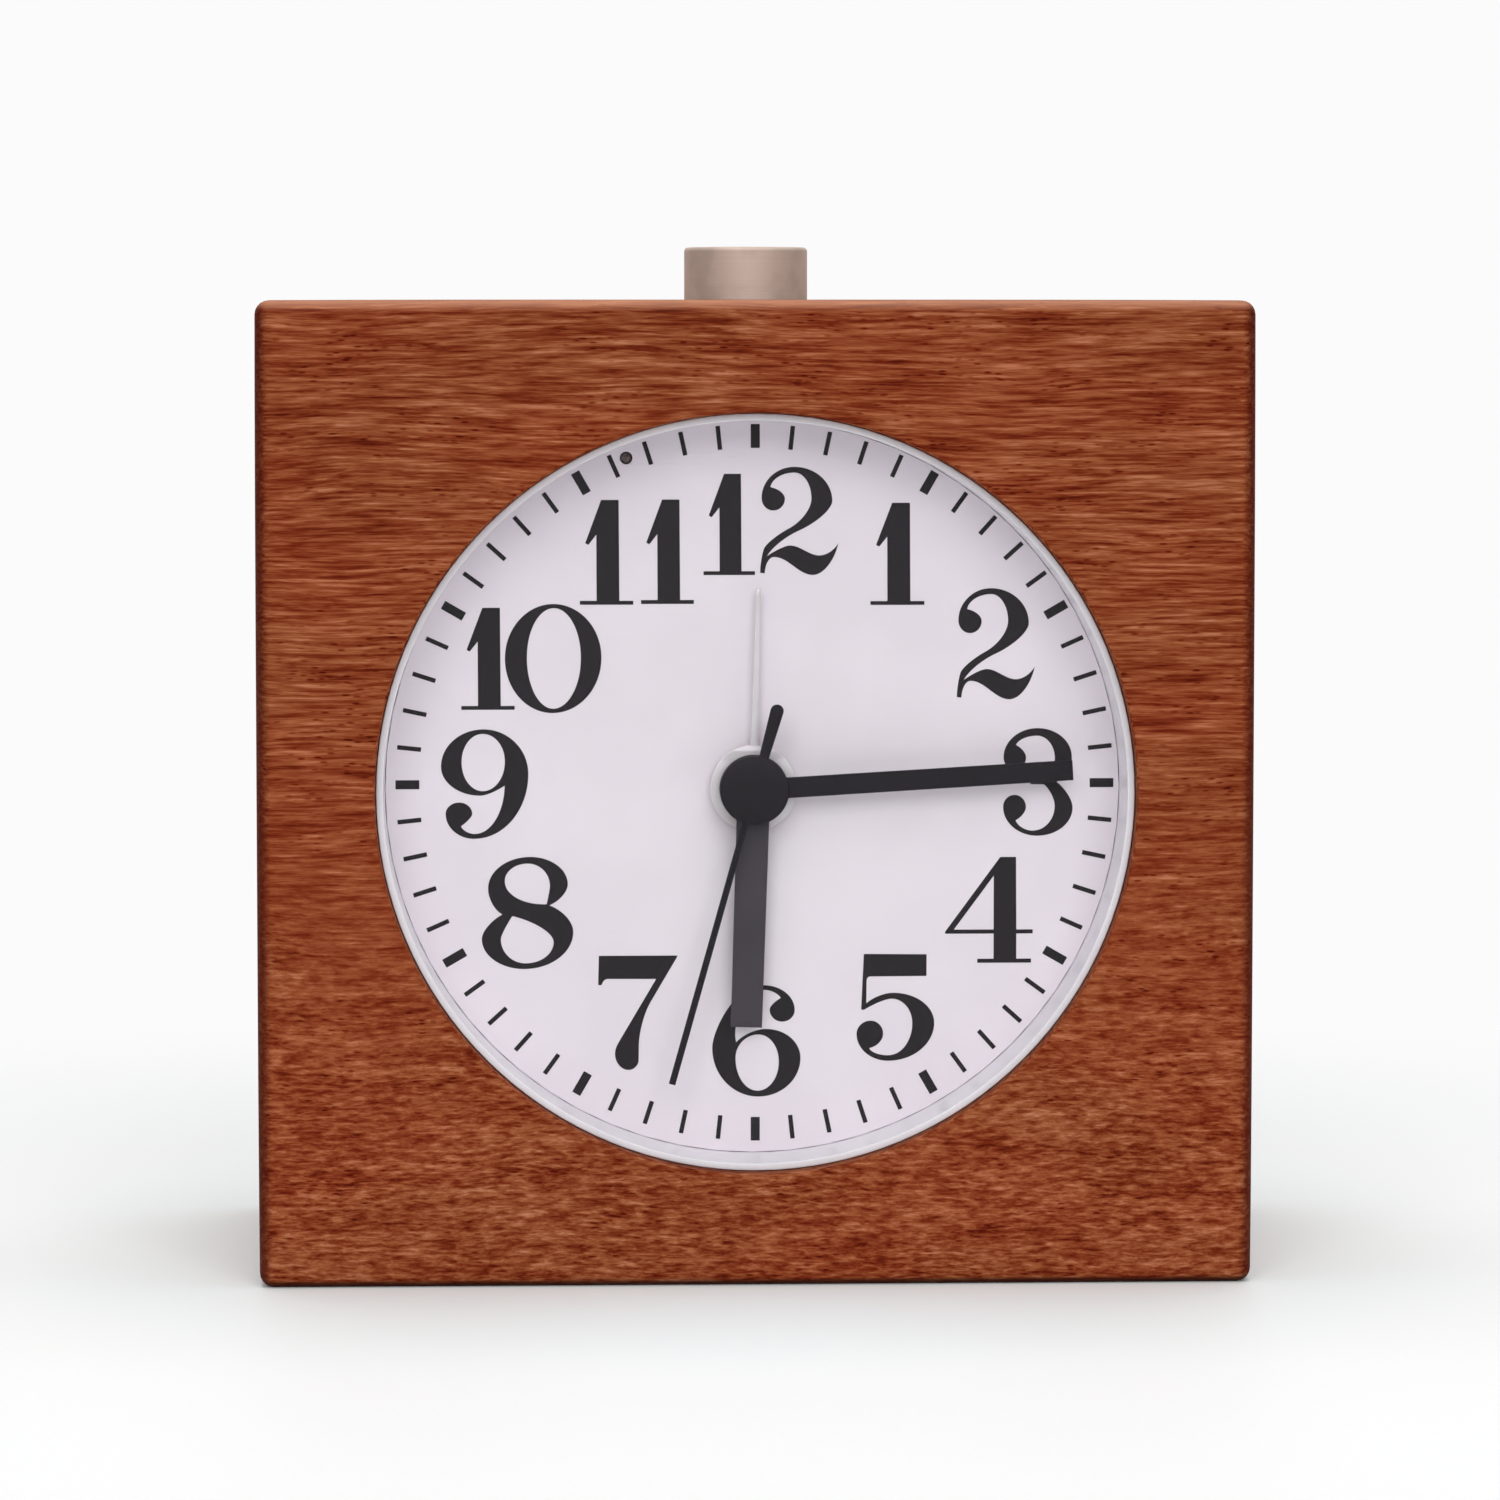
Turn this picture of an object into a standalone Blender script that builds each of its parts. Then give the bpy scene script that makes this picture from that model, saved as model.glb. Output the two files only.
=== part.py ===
"""A square wooden alarm clock, modelled as the pieces that it comes apart into.

Lengths are metres. The clock stands on z = 0 with x = 0 in its middle, and its dial looks along -Y.
Depths are y values, so a smaller depth is nearer to the dial side. An outline is a list of (x, z) points,
and an angle on it runs from +X towards +Z unless it is said to run clockwise from twelve.
"""
import math

import bmesh
import bpy
from mathutils import Matrix, Vector
from mathutils.geometry import interpolate_bezier

# Gaps and helper sizes
fit_gap = 0.0003
running_gap = 0.00015
press_gap = 0.0001
overrun = 0.001
weld_distance = 0.000001
large_steps = 64
middle_steps = 36
small_steps = 18
tiny_steps = 8
coil_steps = 8

# Wooden case: wood beside and above the rear recess, and room for fingers behind the cover
side_wall = 0.0050
top_wall = 0.0045
case_edge_round = 0.0012
finger_depth = 0.0059

# Canister that holds the dial and the movement
canister_wall = 0.0012
skirt_wall = 0.0004
floor_thickness = 0.0015
floor_skin = 0.0005
flange_width = 0.0052
flange_thickness = 0.0015

# Clear front disc and dial
lens_setback = 0.0006
lens_thickness = 0.0010
dial_setback = 0.0090
dial_thickness = 0.0005

# Battery cell, the trough that holds it, and the door
cell_radius = 0.00725
cell_length = 0.0505
cell_nub_radius = 0.00275
cell_nub_length = 0.0010
cell_height = -0.0035
cell_clearance = 0.0004
contact_space = 0.0022
trough_wall = 0.0008
trough_clearance = 0.0005
trough_room = 0.0006
door_thickness = 0.0015
door_ledge = 0.0010
door_corner = 0.0015
cover_thickness = 0.0020
trough_inner_length = cell_length + 2 * contact_space
trough_inner_height = 2 * (cell_radius + cell_clearance)
trough_length = trough_inner_length + 2 * trough_wall
trough_height = trough_inner_height + 2 * trough_wall
trough_reach = math.hypot(trough_length / 2, abs(cell_height) + trough_height / 2)
door_length = trough_inner_length + 2 * door_ledge
door_height = trough_inner_height + 2 * door_ledge

# Arbors and the tubes that turn one inside the other
arbor_radius = 0.00045
tube_wall = 0.0005
cannon_bore = arbor_radius + running_gap
cannon_radius = cannon_bore + tube_wall
hour_bore = cannon_radius + running_gap
hour_tube_radius = hour_bore + tube_wall
alarm_bore = hour_tube_radius + running_gap
alarm_tube_radius = alarm_bore + tube_wall
centre_hole_radius = alarm_tube_radius + fit_gap

# Movement shells and the layers of wheels between them
shell_wall = 0.0010
shell_plate = 0.0012
shell_room = 0.0007654
wheel_thickness = 0.0008
layer_gap = 0.0004
alarm_layer, hour_layer, minute_layer, centre_layer = range(4)
third_layer, seconds_layer, fifth_layer, motor_layer = range(4, 8)

# Teeth: heights are shares of the module, and half widths are shares of the tooth pitch
tooth_tip_share = 0.90
tooth_root_share = 1.10
root_half_share = 0.42

# Distances between arbors, from which each pair's module follows
minute_works_distance = 0.0120
third_distance = 0.011475
fifth_distance = 0.0096
rotor_distance = 0.0084
time_set_distance = 0.0120
alarm_set_distance = 0.0150

# Teeth on each wheel and pinion
rotor_pinion_teeth = 6
fifth_wheel_teeth = 36
fifth_pinion_teeth = 8
seconds_wheel_teeth = 40
seconds_pinion_teeth = 6
third_wheel_teeth = 45
third_pinion_teeth = 6
centre_wheel_teeth = 48
cannon_pinion_teeth = 12
minute_works_wheel_teeth = 36
minute_works_pinion_teeth = 10
hour_wheel_teeth = 40
time_set_pinion_teeth = 12
alarm_wheel_teeth = 40
alarm_set_pinion_teeth = 20

# Directions from one arbor to the next
minute_works_turn = math.radians(70)
third_turn = math.radians(290)
fifth_turn = math.radians(210)
rotor_turn = math.radians(215)
time_set_turn = math.radians(10)
alarm_set_turn = math.radians(128)


def stepped(start, distance, turn):
    """The place that lies a distance from another place, in a direction."""
    return (start[0] + distance * math.cos(turn), start[1] + distance * math.sin(turn))


def pair_module(distance, teeth, mate_teeth):
    """Module of two gears that mesh at a distance."""
    return 2 * distance / (teeth + mate_teeth)


def wheel_reach(place, distance, teeth, mate_teeth):
    """How far the teeth of a wheel at a place reach from the dial's axis."""
    return math.hypot(*place) + pair_module(distance, teeth, mate_teeth) * (teeth / 2 + tooth_tip_share)


dial_axis = (0, 0)
minute_works_place = stepped(dial_axis, minute_works_distance, minute_works_turn)
third_place = stepped(dial_axis, third_distance, third_turn)
fifth_place = stepped(dial_axis, fifth_distance, fifth_turn)
rotor_place = stepped(fifth_place, rotor_distance, rotor_turn)
time_set_place = stepped(minute_works_place, time_set_distance, time_set_turn)
alarm_set_place = stepped(dial_axis, alarm_set_distance, alarm_set_turn)

# Motor
magnet_radius = 0.0024
stator_margin = 0.0012
stator_leg_width = 0.0018
stator_right_reach = 0.0025
stator_window = magnet_radius + fit_gap
stator_reach = stator_window + stator_margin
coil_flange_radius = 0.0017
coil_winding_radius = 0.0014
coil_flange_thickness = 0.0005
coil_length = 0.0120
coil_across = -0.0060
coil_inset = 0.0070
core_length = 0.0144
core_width = 0.0010

# The shell is as wide as its farthest wheel or the stator's corner needs
shell_inner_radius = shell_room + max(
    wheel_reach(minute_works_place, minute_works_distance, minute_works_wheel_teeth, cannon_pinion_teeth),
    wheel_reach(third_place, third_distance, third_wheel_teeth, seconds_pinion_teeth),
    wheel_reach(time_set_place, time_set_distance, time_set_pinion_teeth, minute_works_wheel_teeth),
    wheel_reach(alarm_set_place, alarm_set_distance, alarm_set_pinion_teeth, alarm_wheel_teeth),
    math.hypot(rotor_place[0] - stator_reach, rotor_place[1] - stator_reach),
)
shell_radius = shell_inner_radius + shell_wall
coil_place = (coil_across, coil_inset - shell_inner_radius)

# Bridge that carries the front ends of the two quickest arbors
bridge_rise = 0.0058
bridge_drop = 0.0070
bridge_post_inset = 0.0035
post_radius = 0.0010
bridge_edge = fifth_place[0] + arbor_radius + running_gap + stator_margin / 2
bridge_top = fifth_place[1] + bridge_rise
bridge_bottom = rotor_place[1] - bridge_drop
bridge_post_circle = shell_inner_radius - bridge_post_inset
bridge_post_turns = (math.radians(181), math.radians(221))

# Circuit board and its parts
board_thickness = 0.0008
board_width = 0.0170
board_height = 0.0060
board_across = 0.0025
board_inset = 0.0070
board_place = (board_across, shell_inner_radius - board_inset)
board_post_spread_share = 0.38
chip_radius = 0.0022
chip_height = 0.0007
chip_shoulder_share = 0.9
chip_shoulder_height_share = 0.6
chip_top_share = 0.5
crystal_radius = 0.0009
crystal_length = 0.0060

# Alarm contact that rides on the rim of the alarm wheel
contact_thickness = 0.0003
contact_height = 0.0110
contact_foot = 0.0016

# Snooze board and its push switch, between the shell and the canister's tube
snooze_board_length = 0.0090
snooze_board_width = 0.0100
snooze_board_thickness = 0.0010
snooze_switch_size = 0.0060
snooze_switch_height = 0.0020
snooze_plunger_radius = 0.0015
snooze_plunger_height = 0.0006
plunger_clearance = 0.0011
snooze_board_seat = shell_radius + fit_gap
snooze_switch_seat = snooze_board_seat + snooze_board_thickness + fit_gap
plunger_reach = snooze_switch_seat + snooze_switch_height + snooze_plunger_height

# The tube is as wide as the snooze switch on the movement, or the corners of the trough, need
tube_inner_radius = max(plunger_reach + plunger_clearance, trough_reach + trough_room)
canister_radius = tube_inner_radius + canister_wall
skirt_inner_radius = canister_radius - skirt_wall
dial_radius = skirt_inner_radius - fit_gap
flange_radius = canister_radius + flange_width
bore_radius = canister_radius + fit_gap
recess_radius = flange_radius + fit_gap
case_width = 2 * (recess_radius + side_wall)
case_height = 2 * (recess_radius + top_wall)
axis_height = case_height / 2

# Shell screws and cover screws
shell_screw_radius = 0.0007
shell_screw_head_radius = 0.0014
shell_screw_head = 0.0007
shell_screw_inset = 0.0017
shell_screw_circle = shell_inner_radius - shell_screw_inset
shell_screw_turns = tuple(math.radians(angle) for angle in (5, 95, 170, 310))
cover_screw_radius = 0.0008
cover_screw_head_radius = 0.0017
cover_screw_head = 0.0010
cover_screw_length = 0.0080
cover_screw_inset = 0.00235
cover_screw_circle = flange_radius - cover_screw_inset
cover_screw_turns = tuple(math.radians(angle) for angle in (45, 135, 225, 315))
driver_slot_share = 0.22
driver_reach_share = 0.62
driver_depth_share = 0.55

# Depth of the case: dial, movement, screw heads, trough with its cell and door, and room for fingers
dial_depth = dial_setback + dial_thickness + fit_gap + floor_thickness + fit_gap
motor_depth = shell_plate + layer_gap + motor_layer * (wheel_thickness + layer_gap) + wheel_thickness / 2
movement_depth = motor_depth + coil_flange_radius + fit_gap + shell_plate
screw_depth = fit_gap + shell_screw_head + trough_clearance
cell_depth = trough_wall + fit_gap + 2 * cell_radius + fit_gap + door_thickness
case_depth = dial_depth + movement_depth + screw_depth + cell_depth + finger_depth

# Depths from the front face to the movement's back
front_face = -case_depth / 2
lens_front = front_face + lens_setback
lens_back = lens_front + lens_thickness
rim_front = lens_back + fit_gap
dial_front = front_face + dial_setback
dial_back = dial_front + dial_thickness
floor_front = dial_back + fit_gap
floor_back = floor_front + floor_thickness
shell_front = floor_back + fit_gap
front_plate_back = shell_front + shell_plate
motor_middle = shell_front + motor_depth
back_plate_front = motor_middle + coil_flange_radius + fit_gap
back_plate_back = back_plate_front + shell_plate
shell_split = (front_plate_back + back_plate_front) / 2

# Depths of the trough, cell, door, cover and flange, and of the wooden shoulder that the flange meets
trough_front = back_plate_back + screw_depth
trough_floor = trough_front + trough_wall
cell_middle = trough_floor + fit_gap + cell_radius
door_front = cell_middle + cell_radius + fit_gap
cover_back = door_front + door_thickness
cover_front = cover_back - cover_thickness
flange_back = cover_front - fit_gap
flange_front = flange_back - flange_thickness
shoulder_depth = flange_front - fit_gap
rear_face = cover_back + finger_depth


def layer_front(layer):
    """Depth at which the wheels of a layer start."""
    return front_plate_back + layer_gap + layer * (wheel_thickness + layer_gap)


def layer_back(layer):
    """Depth at which the wheels of a layer end."""
    return layer_front(layer) + wheel_thickness


# Hands, each pressed on its own arbor or tube, with its tip a margin inside the dial's edge
hand_lift = 0.0009
hand_thickness = 0.0003
hand_spacing = 0.0006
hub_radius = 0.0030
alarm_hub_radius = 0.0038
hour_tip_margin = 0.0113
hour_root_width = 0.00265
hour_tip_width = 0.00230
minute_tip_margin = 0.0046
minute_root_width = 0.00180
minute_tip_width = 0.00145
second_tip_margin = 0.0053
second_root_width = 0.00046
second_tip_width = 0.00034
second_tail_length = 0.0072
second_tail_root_width = 0.00070
second_tail_end_width = 0.00105
alarm_tip_margin = 0.0144
alarm_root_width = 0.00070
alarm_tip_width = 0.00040
hour_hand_turn = math.radians(181.8)
minute_hand_turn = math.radians(86.6)
second_hand_turn = math.radians(195.7)
alarm_hand_turn = math.radians(1.4)

# Battery contacts
plate_contact_size = 0.0100
plate_contact_thickness = 0.0003
cell_spring_wire = 0.00025
cell_spring_outer_radius = 0.0048
cell_spring_inner_radius = 0.0026
cell_spring_turns = 2

# Setting shafts and their knobs
shaft_radius = 0.0012
knob_radius = 0.0058
knob_gap = 0.0004
knob_thickness = 0.0046
knob_flute_depth = 0.0003
knob_flutes = 24
shaft_grip = 0.0036
knob_front = cover_back + knob_gap
knob_back = knob_front + knob_thickness
shaft_end = knob_front + shaft_grip

# Slide switch for the alarm
switch_inset = 0.0045
switch_travel = 0.0030
slider_base_width = 0.0042
slider_base_height = 0.0032
slider_base_thickness = 0.0008
slider_tab_width = 0.0024
slider_tab_height = 0.0018
slider_tab_proud = 0.0014
switch_wall = 0.0008
switch_body_depth = 0.0045
switch_pocket_depth = slider_base_thickness + 2 * fit_gap
switch_height = tube_inner_radius - switch_inset
slider_rest = -switch_travel / 2

# Buzzer and its sound holes
buzzer_radius = 0.0080
buzzer_height = 0.0045
buzzer_mouth_radius = 0.0012
buzzer_mouth_depth = 0.0010
buzzer_room = 0.00225
buzzer_place = (0, cell_height - trough_height / 2 - buzzer_room - buzzer_radius)
sound_hole_radius = 0.0008
sound_hole_circle = 0.0034
sound_holes_round = 6

# Night light
led_radius = 0.0008
led_length = 0.0052
led_proud = 0.0002
led_inset = 0.0010
led_tip_share = 0.6
led_tip_height_share = 0.2
led_turn = math.radians(111)
led_place = stepped(dial_axis, dial_radius - led_inset, led_turn)

# Snooze button and its spring
button_radius = 0.0055
button_proud = 0.0047
button_edge_round = 0.0004
button_wall = 0.0009
button_top = 0.0010
button_flange_radius = 0.0069
button_flange_thickness = 0.0013
button_flange_clearance = 0.0012
button_stem_radius = 0.0015
button_window_gap = 0.0005
button_travel = 0.0015
button_spring_wire = 0.0003
button_spring_radius = 0.0038
button_spring_turns = 6
button_window_radius = button_stem_radius + button_window_gap
button_hole_radius = button_radius + fit_gap
pocket_radius = button_flange_radius + fit_gap
spring_seat = axis_height + canister_radius + fit_gap
button_flange_bottom = axis_height + canister_radius + button_travel + button_flange_clearance
button_flange_top = button_flange_bottom + button_flange_thickness
button_stem_end = axis_height + plunger_reach + button_travel + fit_gap
pocket_ceiling = button_flange_top + fit_gap

# Leads from the battery contacts to the snooze board, as points across, back and up from the dial's axis
lead_radius = 0.0004
lead_steps = 5
lead_route = (
    (0.0240, 0.0095, 0.0062),
    (0.0268, 0.0080, 0.0095),
    (0.0235, 0.0062, 0.0175),
    (0.0140, 0.0058, 0.0245),
    (0.0030, 0.0056, 0.0266),
)

# Finishes: colour, roughness and metallic value
stained_wood = ((0.235, 0.062, 0.022), 0.55, 0.0)
white_plastic = ((0.78, 0.77, 0.80), 0.45, 0.0)
dial_card = ((0.72, 0.70, 0.75), 0.60, 0.0)
clear_sheet = ((0.90, 0.93, 0.95), 0.05, 0.0)
black_paint = ((0.018, 0.016, 0.020), 0.45, 0.0)
silver_paint = ((0.62, 0.60, 0.62), 0.35, 0.6)
champagne_metal = ((0.46, 0.36, 0.30), 0.32, 1.0)
spring_steel = ((0.55, 0.56, 0.58), 0.30, 1.0)
clear_grey_plastic = ((0.40, 0.42, 0.43), 0.40, 0.0)
black_plastic = ((0.03, 0.03, 0.032), 0.50, 0.0)
gear_plastic = ((0.70, 0.66, 0.55), 0.45, 0.0)
brass = ((0.56, 0.39, 0.14), 0.30, 1.0)
magnet_grey = ((0.16, 0.16, 0.17), 0.45, 0.8)
copper_wire = ((0.50, 0.19, 0.08), 0.35, 0.9)
board_green = ((0.03, 0.16, 0.07), 0.50, 0.0)
plated_steel = ((0.60, 0.60, 0.60), 0.28, 1.0)
cell_sleeve = ((0.10, 0.17, 0.32), 0.35, 0.2)
amber_resin = ((0.30, 0.06, 0.02), 0.15, 0.0)
red_sleeve = ((0.50, 0.03, 0.02), 0.45, 0.0)
black_sleeve = ((0.02, 0.02, 0.02), 0.45, 0.0)


def circle(radius, steps=small_steps, centre=(0, 0)):
    """Outline of a circle."""
    turns = [2 * math.pi * step / steps for step in range(steps)]
    return [stepped(centre, radius, turn) for turn in turns]


def rectangle(width, height, centre=(0, 0), corner=0, corner_steps=4):
    """Outline of a rectangle, with round corners where a corner radius is given."""
    half_width = width / 2 - corner
    half_height = height / 2 - corner
    points = []
    for quarter, (side, end) in enumerate(((1, 1), (-1, 1), (-1, -1), (1, -1))):
        middle = (centre[0] + side * half_width, centre[1] + end * half_height)
        if not corner:
            points.append(middle)
            continue
        for step in range(corner_steps + 1):
            turn = math.pi / 2 * (quarter + step / corner_steps)
            points.append(stepped(middle, corner, turn))
    return points


def gear(teeth, module, phase):
    """Outline of a gear with one tooth's middle at the angle that phase gives."""
    pitch_radius = module * teeth / 2
    root = pitch_radius - tooth_root_share * module
    tip = pitch_radius + tooth_tip_share * module
    corners = ((root, -root_half_share), (tip, 0), (root, root_half_share))
    points = []
    for tooth in range(teeth):
        for radius, share in corners:
            turn = phase + 2 * math.pi * (tooth + share) / teeth
            points.append(stepped(dial_axis, radius, turn))
    return points


def meshing_phase(teeth, phase, direction, mate_teeth):
    """Phase of a gear that meshes with another one, which lies behind it in the given direction."""
    ahead = (phase - direction) * teeth / (2 * math.pi)
    return direction + math.pi - (ahead + 1 / 2) * 2 * math.pi / mate_teeth


def fluted(radius, flute_depth, flutes):
    """Outline of a grip with shallow flutes."""
    points = []
    for step in range(2 * flutes):
        turn = math.pi * step / flutes
        points.append(stepped(dial_axis, radius - flute_depth * (step % 2), turn))
    return points


def cross(reach, half_width):
    """Outline of a cross-head driver's recess."""
    arm = [(reach, -half_width), (reach, half_width), (half_width, half_width)]
    points = []
    for quarter in range(4):
        turn = math.pi / 2 * quarter
        for x, z in arm:
            points.append((x * math.cos(turn) - z * math.sin(turn), x * math.sin(turn) + z * math.cos(turn)))
    return points


def hand(hub, root_width, tip_width, length, tail=None):
    """Outline of a hand that points to twelve: a bar on a round hub, with a tail where one is given."""
    side = [(tip_width / 2, length)]
    first = math.asin(root_width / 2 / hub)
    last = math.pi
    if tail:
        tail_root_width, tail_end_width, tail_length = tail
        last = math.pi - math.asin(tail_root_width / 2 / hub)
    for step in range(small_steps + 1):
        turn = first + (last - first) * step / small_steps
        side.append((hub * math.sin(turn), hub * math.cos(turn)))
    if tail:
        end_radius = tail_end_width / 2
        for step in range(5):
            turn = math.pi / 2 * (1 + step / 4)
            side.append((end_radius * math.sin(turn), end_radius * (math.cos(turn) + 1) - tail_length))
    mirrored = [(-x, z) for x, z in reversed(side) if x > weld_distance]
    return side + mirrored


def loop_edges(bm, points, depth, place):
    """Draws a closed outline at a depth and returns its edges."""
    verts = [bm.verts.new((x + place[0], depth, z + place[1])) for x, z in points]
    return [bm.edges.new((verts[index - 1], verts[index])) for index in range(len(verts))]


def sweep(bm, edges, distance):
    """Pulls edges back along Y and returns the edges at the far end."""
    made = bmesh.ops.extrude_edge_only(bm, edges=edges)["geom"]
    far = {item for item in made if isinstance(item, bmesh.types.BMVert)}
    bmesh.ops.translate(bm, verts=list(far), vec=(0, distance, 0))
    return [item for item in made if isinstance(item, bmesh.types.BMEdge) and far.issuperset(item.verts)]


def fill(bm, edges):
    """Fills flat outlines, the inner ones as holes."""
    bmesh.ops.triangle_fill(bm, use_beauty=True, edges=edges, normal=(0, -1, 0))


def add_stack(bm, layers, bores=(), place=(0, 0)):
    """Piles outlines along Y into one closed solid, with bores that run through them all.

    A layer is (outline, front, back). Each outline lies inside its neighbour or round it.
    """
    front = layers[0][1]
    back = layers[-1][2]
    last = []
    bore_ends = []
    for bore in bores:
        edges = loop_edges(bm, bore, front, place)
        last += edges
        bore_ends += sweep(bm, edges, back - front)
    for outline, layer_start, layer_end in layers:
        edges = loop_edges(bm, outline, layer_start, place)
        fill(bm, edges + last)
        last = sweep(bm, edges, layer_end - layer_start)
    fill(bm, last + bore_ends)
    bmesh.ops.recalc_face_normals(bm, faces=bm.faces)


def add_turned(bm, profile, steps=large_steps, axis=(0, 1, 0), across=(1, 0, 0)):
    """Turns a profile of (radius, height) points about an axis into one closed solid."""
    axis = Vector(axis)
    across = Vector(across)
    verts = [bm.verts.new(across * radius + axis * height) for radius, height in profile]
    edges = [bm.edges.new(pair) for pair in zip(verts, verts[1:])]
    if profile[0][0] > 0:
        edges.append(bm.edges.new((verts[-1], verts[0])))
    bmesh.ops.spin(bm, geom=verts + edges, cent=(0, 0, 0), axis=axis, angle=2 * math.pi,
                   steps=steps, use_merge=True)
    bmesh.ops.remove_doubles(bm, verts=bm.verts, dist=weld_distance)
    bmesh.ops.recalc_face_normals(bm, faces=bm.faces)


def add_box(bm, low, high):
    """Adds a box between two corners."""
    size = Vector(high) - Vector(low)
    middle = (Vector(high) + Vector(low)) / 2
    bmesh.ops.create_cube(bm, size=1, matrix=Matrix.Translation(middle) @ Matrix.Diagonal((*size, 1)))


def make_material(name, finish):
    """Makes a plain material from a finish."""
    colour, roughness, metallic = finish
    material = bpy.data.materials.new(name)
    material.use_nodes = True
    shader = material.node_tree.nodes["Principled BSDF"]
    shader.inputs["Base Color"].default_value = (*colour, 1)
    shader.inputs["Roughness"].default_value = roughness
    shader.inputs["Metallic"].default_value = metallic
    return material


def place_object(name, data, finish, location, rotation):
    """Puts a mesh or a curve in the scene as a named piece."""
    data.materials.append(make_material(name, finish))
    piece = bpy.data.objects.new(name, data)
    piece.location = location
    piece.rotation_euler = rotation
    bpy.context.scene.collection.objects.link(piece)
    return piece


def make_piece(name, bm, finish, place=dial_axis, rotation=(0, 0, 0)):
    """Makes a piece from a bmesh. Its place is across and up from the dial's axis."""
    mesh = bpy.data.meshes.new(name)
    bm.to_mesh(mesh)
    bm.free()
    mesh.shade_smooth()
    mesh.set_sharp_from_angle(angle=math.radians(35))
    return place_object(name, mesh, finish, (place[0], 0, axis_height + place[1]), rotation)


def make_coil(name, radii, wire, turns, length, finish, location, rotation=(0, 0, 0)):
    """Makes a wire coil along Z, from one radius to another, as one tube with closed ends."""
    curve = bpy.data.curves.new(name, "CURVE")
    curve.dimensions = "3D"
    curve.bevel_depth = wire
    curve.bevel_resolution = 1
    curve.use_fill_caps = True
    spline = curve.splines.new("POLY")
    count = turns * coil_steps
    spline.points.add(count)
    for index, point in enumerate(spline.points):
        share = index / count
        radius = radii[0] + (radii[1] - radii[0]) * share
        turn = 2 * math.pi * turns * share
        height = wire + (length - 2 * wire) * share
        point.co = (radius * math.cos(turn), radius * math.sin(turn), height, 1)
    return place_object(name, curve, finish, location, rotation)


def smooth_route(route, steps):
    """Points of a smooth curve that passes through each point of a route."""
    knots = [Vector(point) for point in route]
    padded = [knots[0]] + knots + [knots[-1]]
    points = []
    for before, start, end, after in zip(padded, padded[1:], padded[2:], padded[3:]):
        leave = start + (end - before) / 6
        arrive = end - (after - start) / 6
        points += interpolate_bezier(start, leave, arrive, end, steps + 1)[:-1]
    return points + [knots[-1]]


def make_lead(name, side, finish):
    """Insulated lead on one side of the clock, from a battery contact up to the snooze board."""
    curve = bpy.data.curves.new(name, "CURVE")
    curve.dimensions = "3D"
    curve.bevel_depth = lead_radius
    curve.bevel_resolution = 1
    curve.use_fill_caps = True
    points = smooth_route([(side * x, y, z) for x, y, z in lead_route], lead_steps)
    spline = curve.splines.new("POLY")
    spline.points.add(len(points) - 1)
    for spline_point, point in zip(spline.points, points):
        spline_point.co = (*point, 1)
    place_object(name, curve, finish, (0, 0, axis_height), (0, 0, 0))


def use_tool(piece, bm, operation, name, place=dial_axis):
    """Cuts a tool's shape out of a piece, or joins it on, and keeps the tool as a hidden guide."""
    mesh = bpy.data.meshes.new(name)
    bm.to_mesh(mesh)
    bm.free()
    tool = bpy.data.objects.new(name, mesh)
    tool.location = (place[0], 0, axis_height + place[1])
    tool.hide_render = True
    tool.display_type = "WIRE"
    bpy.context.scene.collection.objects.link(tool)
    modifier = piece.modifiers.new(name, "BOOLEAN")
    modifier.operation = operation
    modifier.object = tool


def add_rods(bm, places, radius, front, back, steps=tiny_steps):
    """Adds a round rod along Y at each place."""
    for place in places:
        add_stack(bm, [(circle(radius, steps), front, back)], place=place)


def screw_places(circle_radius, turns):
    """Places of screws on a circle round the dial's axis."""
    return [stepped(dial_axis, circle_radius, turn) for turn in turns]


def make_case():
    """Solid wooden block with a bore from the front, a wider recess at the rear and the button's passage."""
    bm = bmesh.new()
    add_box(bm, (-case_width / 2, front_face, -axis_height), (case_width / 2, rear_face, axis_height))
    bmesh.ops.bevel(bm, geom=bm.edges, offset=case_edge_round, offset_type="OFFSET", segments=3,
                    profile=0.5, affect="EDGES", material=-1)
    case = make_piece("wooden_case", bm, stained_wood)

    bore = bmesh.new()
    add_turned(bore, [(0, front_face - overrun), (bore_radius, front_face - overrun),
                      (bore_radius, shoulder_depth), (recess_radius, shoulder_depth),
                      (recess_radius, rear_face + overrun), (0, rear_face + overrun)])
    use_tool(case, bore, "DIFFERENCE", "case_bore")

    ceiling = pocket_ceiling - axis_height
    passage = bmesh.new()
    add_turned(passage, [(0, axis_height + overrun), (button_hole_radius, axis_height + overrun),
                         (button_hole_radius, ceiling), (pocket_radius, ceiling), (pocket_radius, 0), (0, 0)],
               steps=middle_steps, axis=(0, 0, 1))
    use_tool(case, passage, "DIFFERENCE", "button_passage")

    pilots = bmesh.new()
    pilot_depth = cover_back - cover_screw_length - fit_gap
    add_rods(pilots, screw_places(cover_screw_circle, cover_screw_turns), cover_screw_radius + fit_gap,
             pilot_depth, shoulder_depth + overrun)
    use_tool(case, pilots, "DIFFERENCE", "case_pilots")


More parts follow.
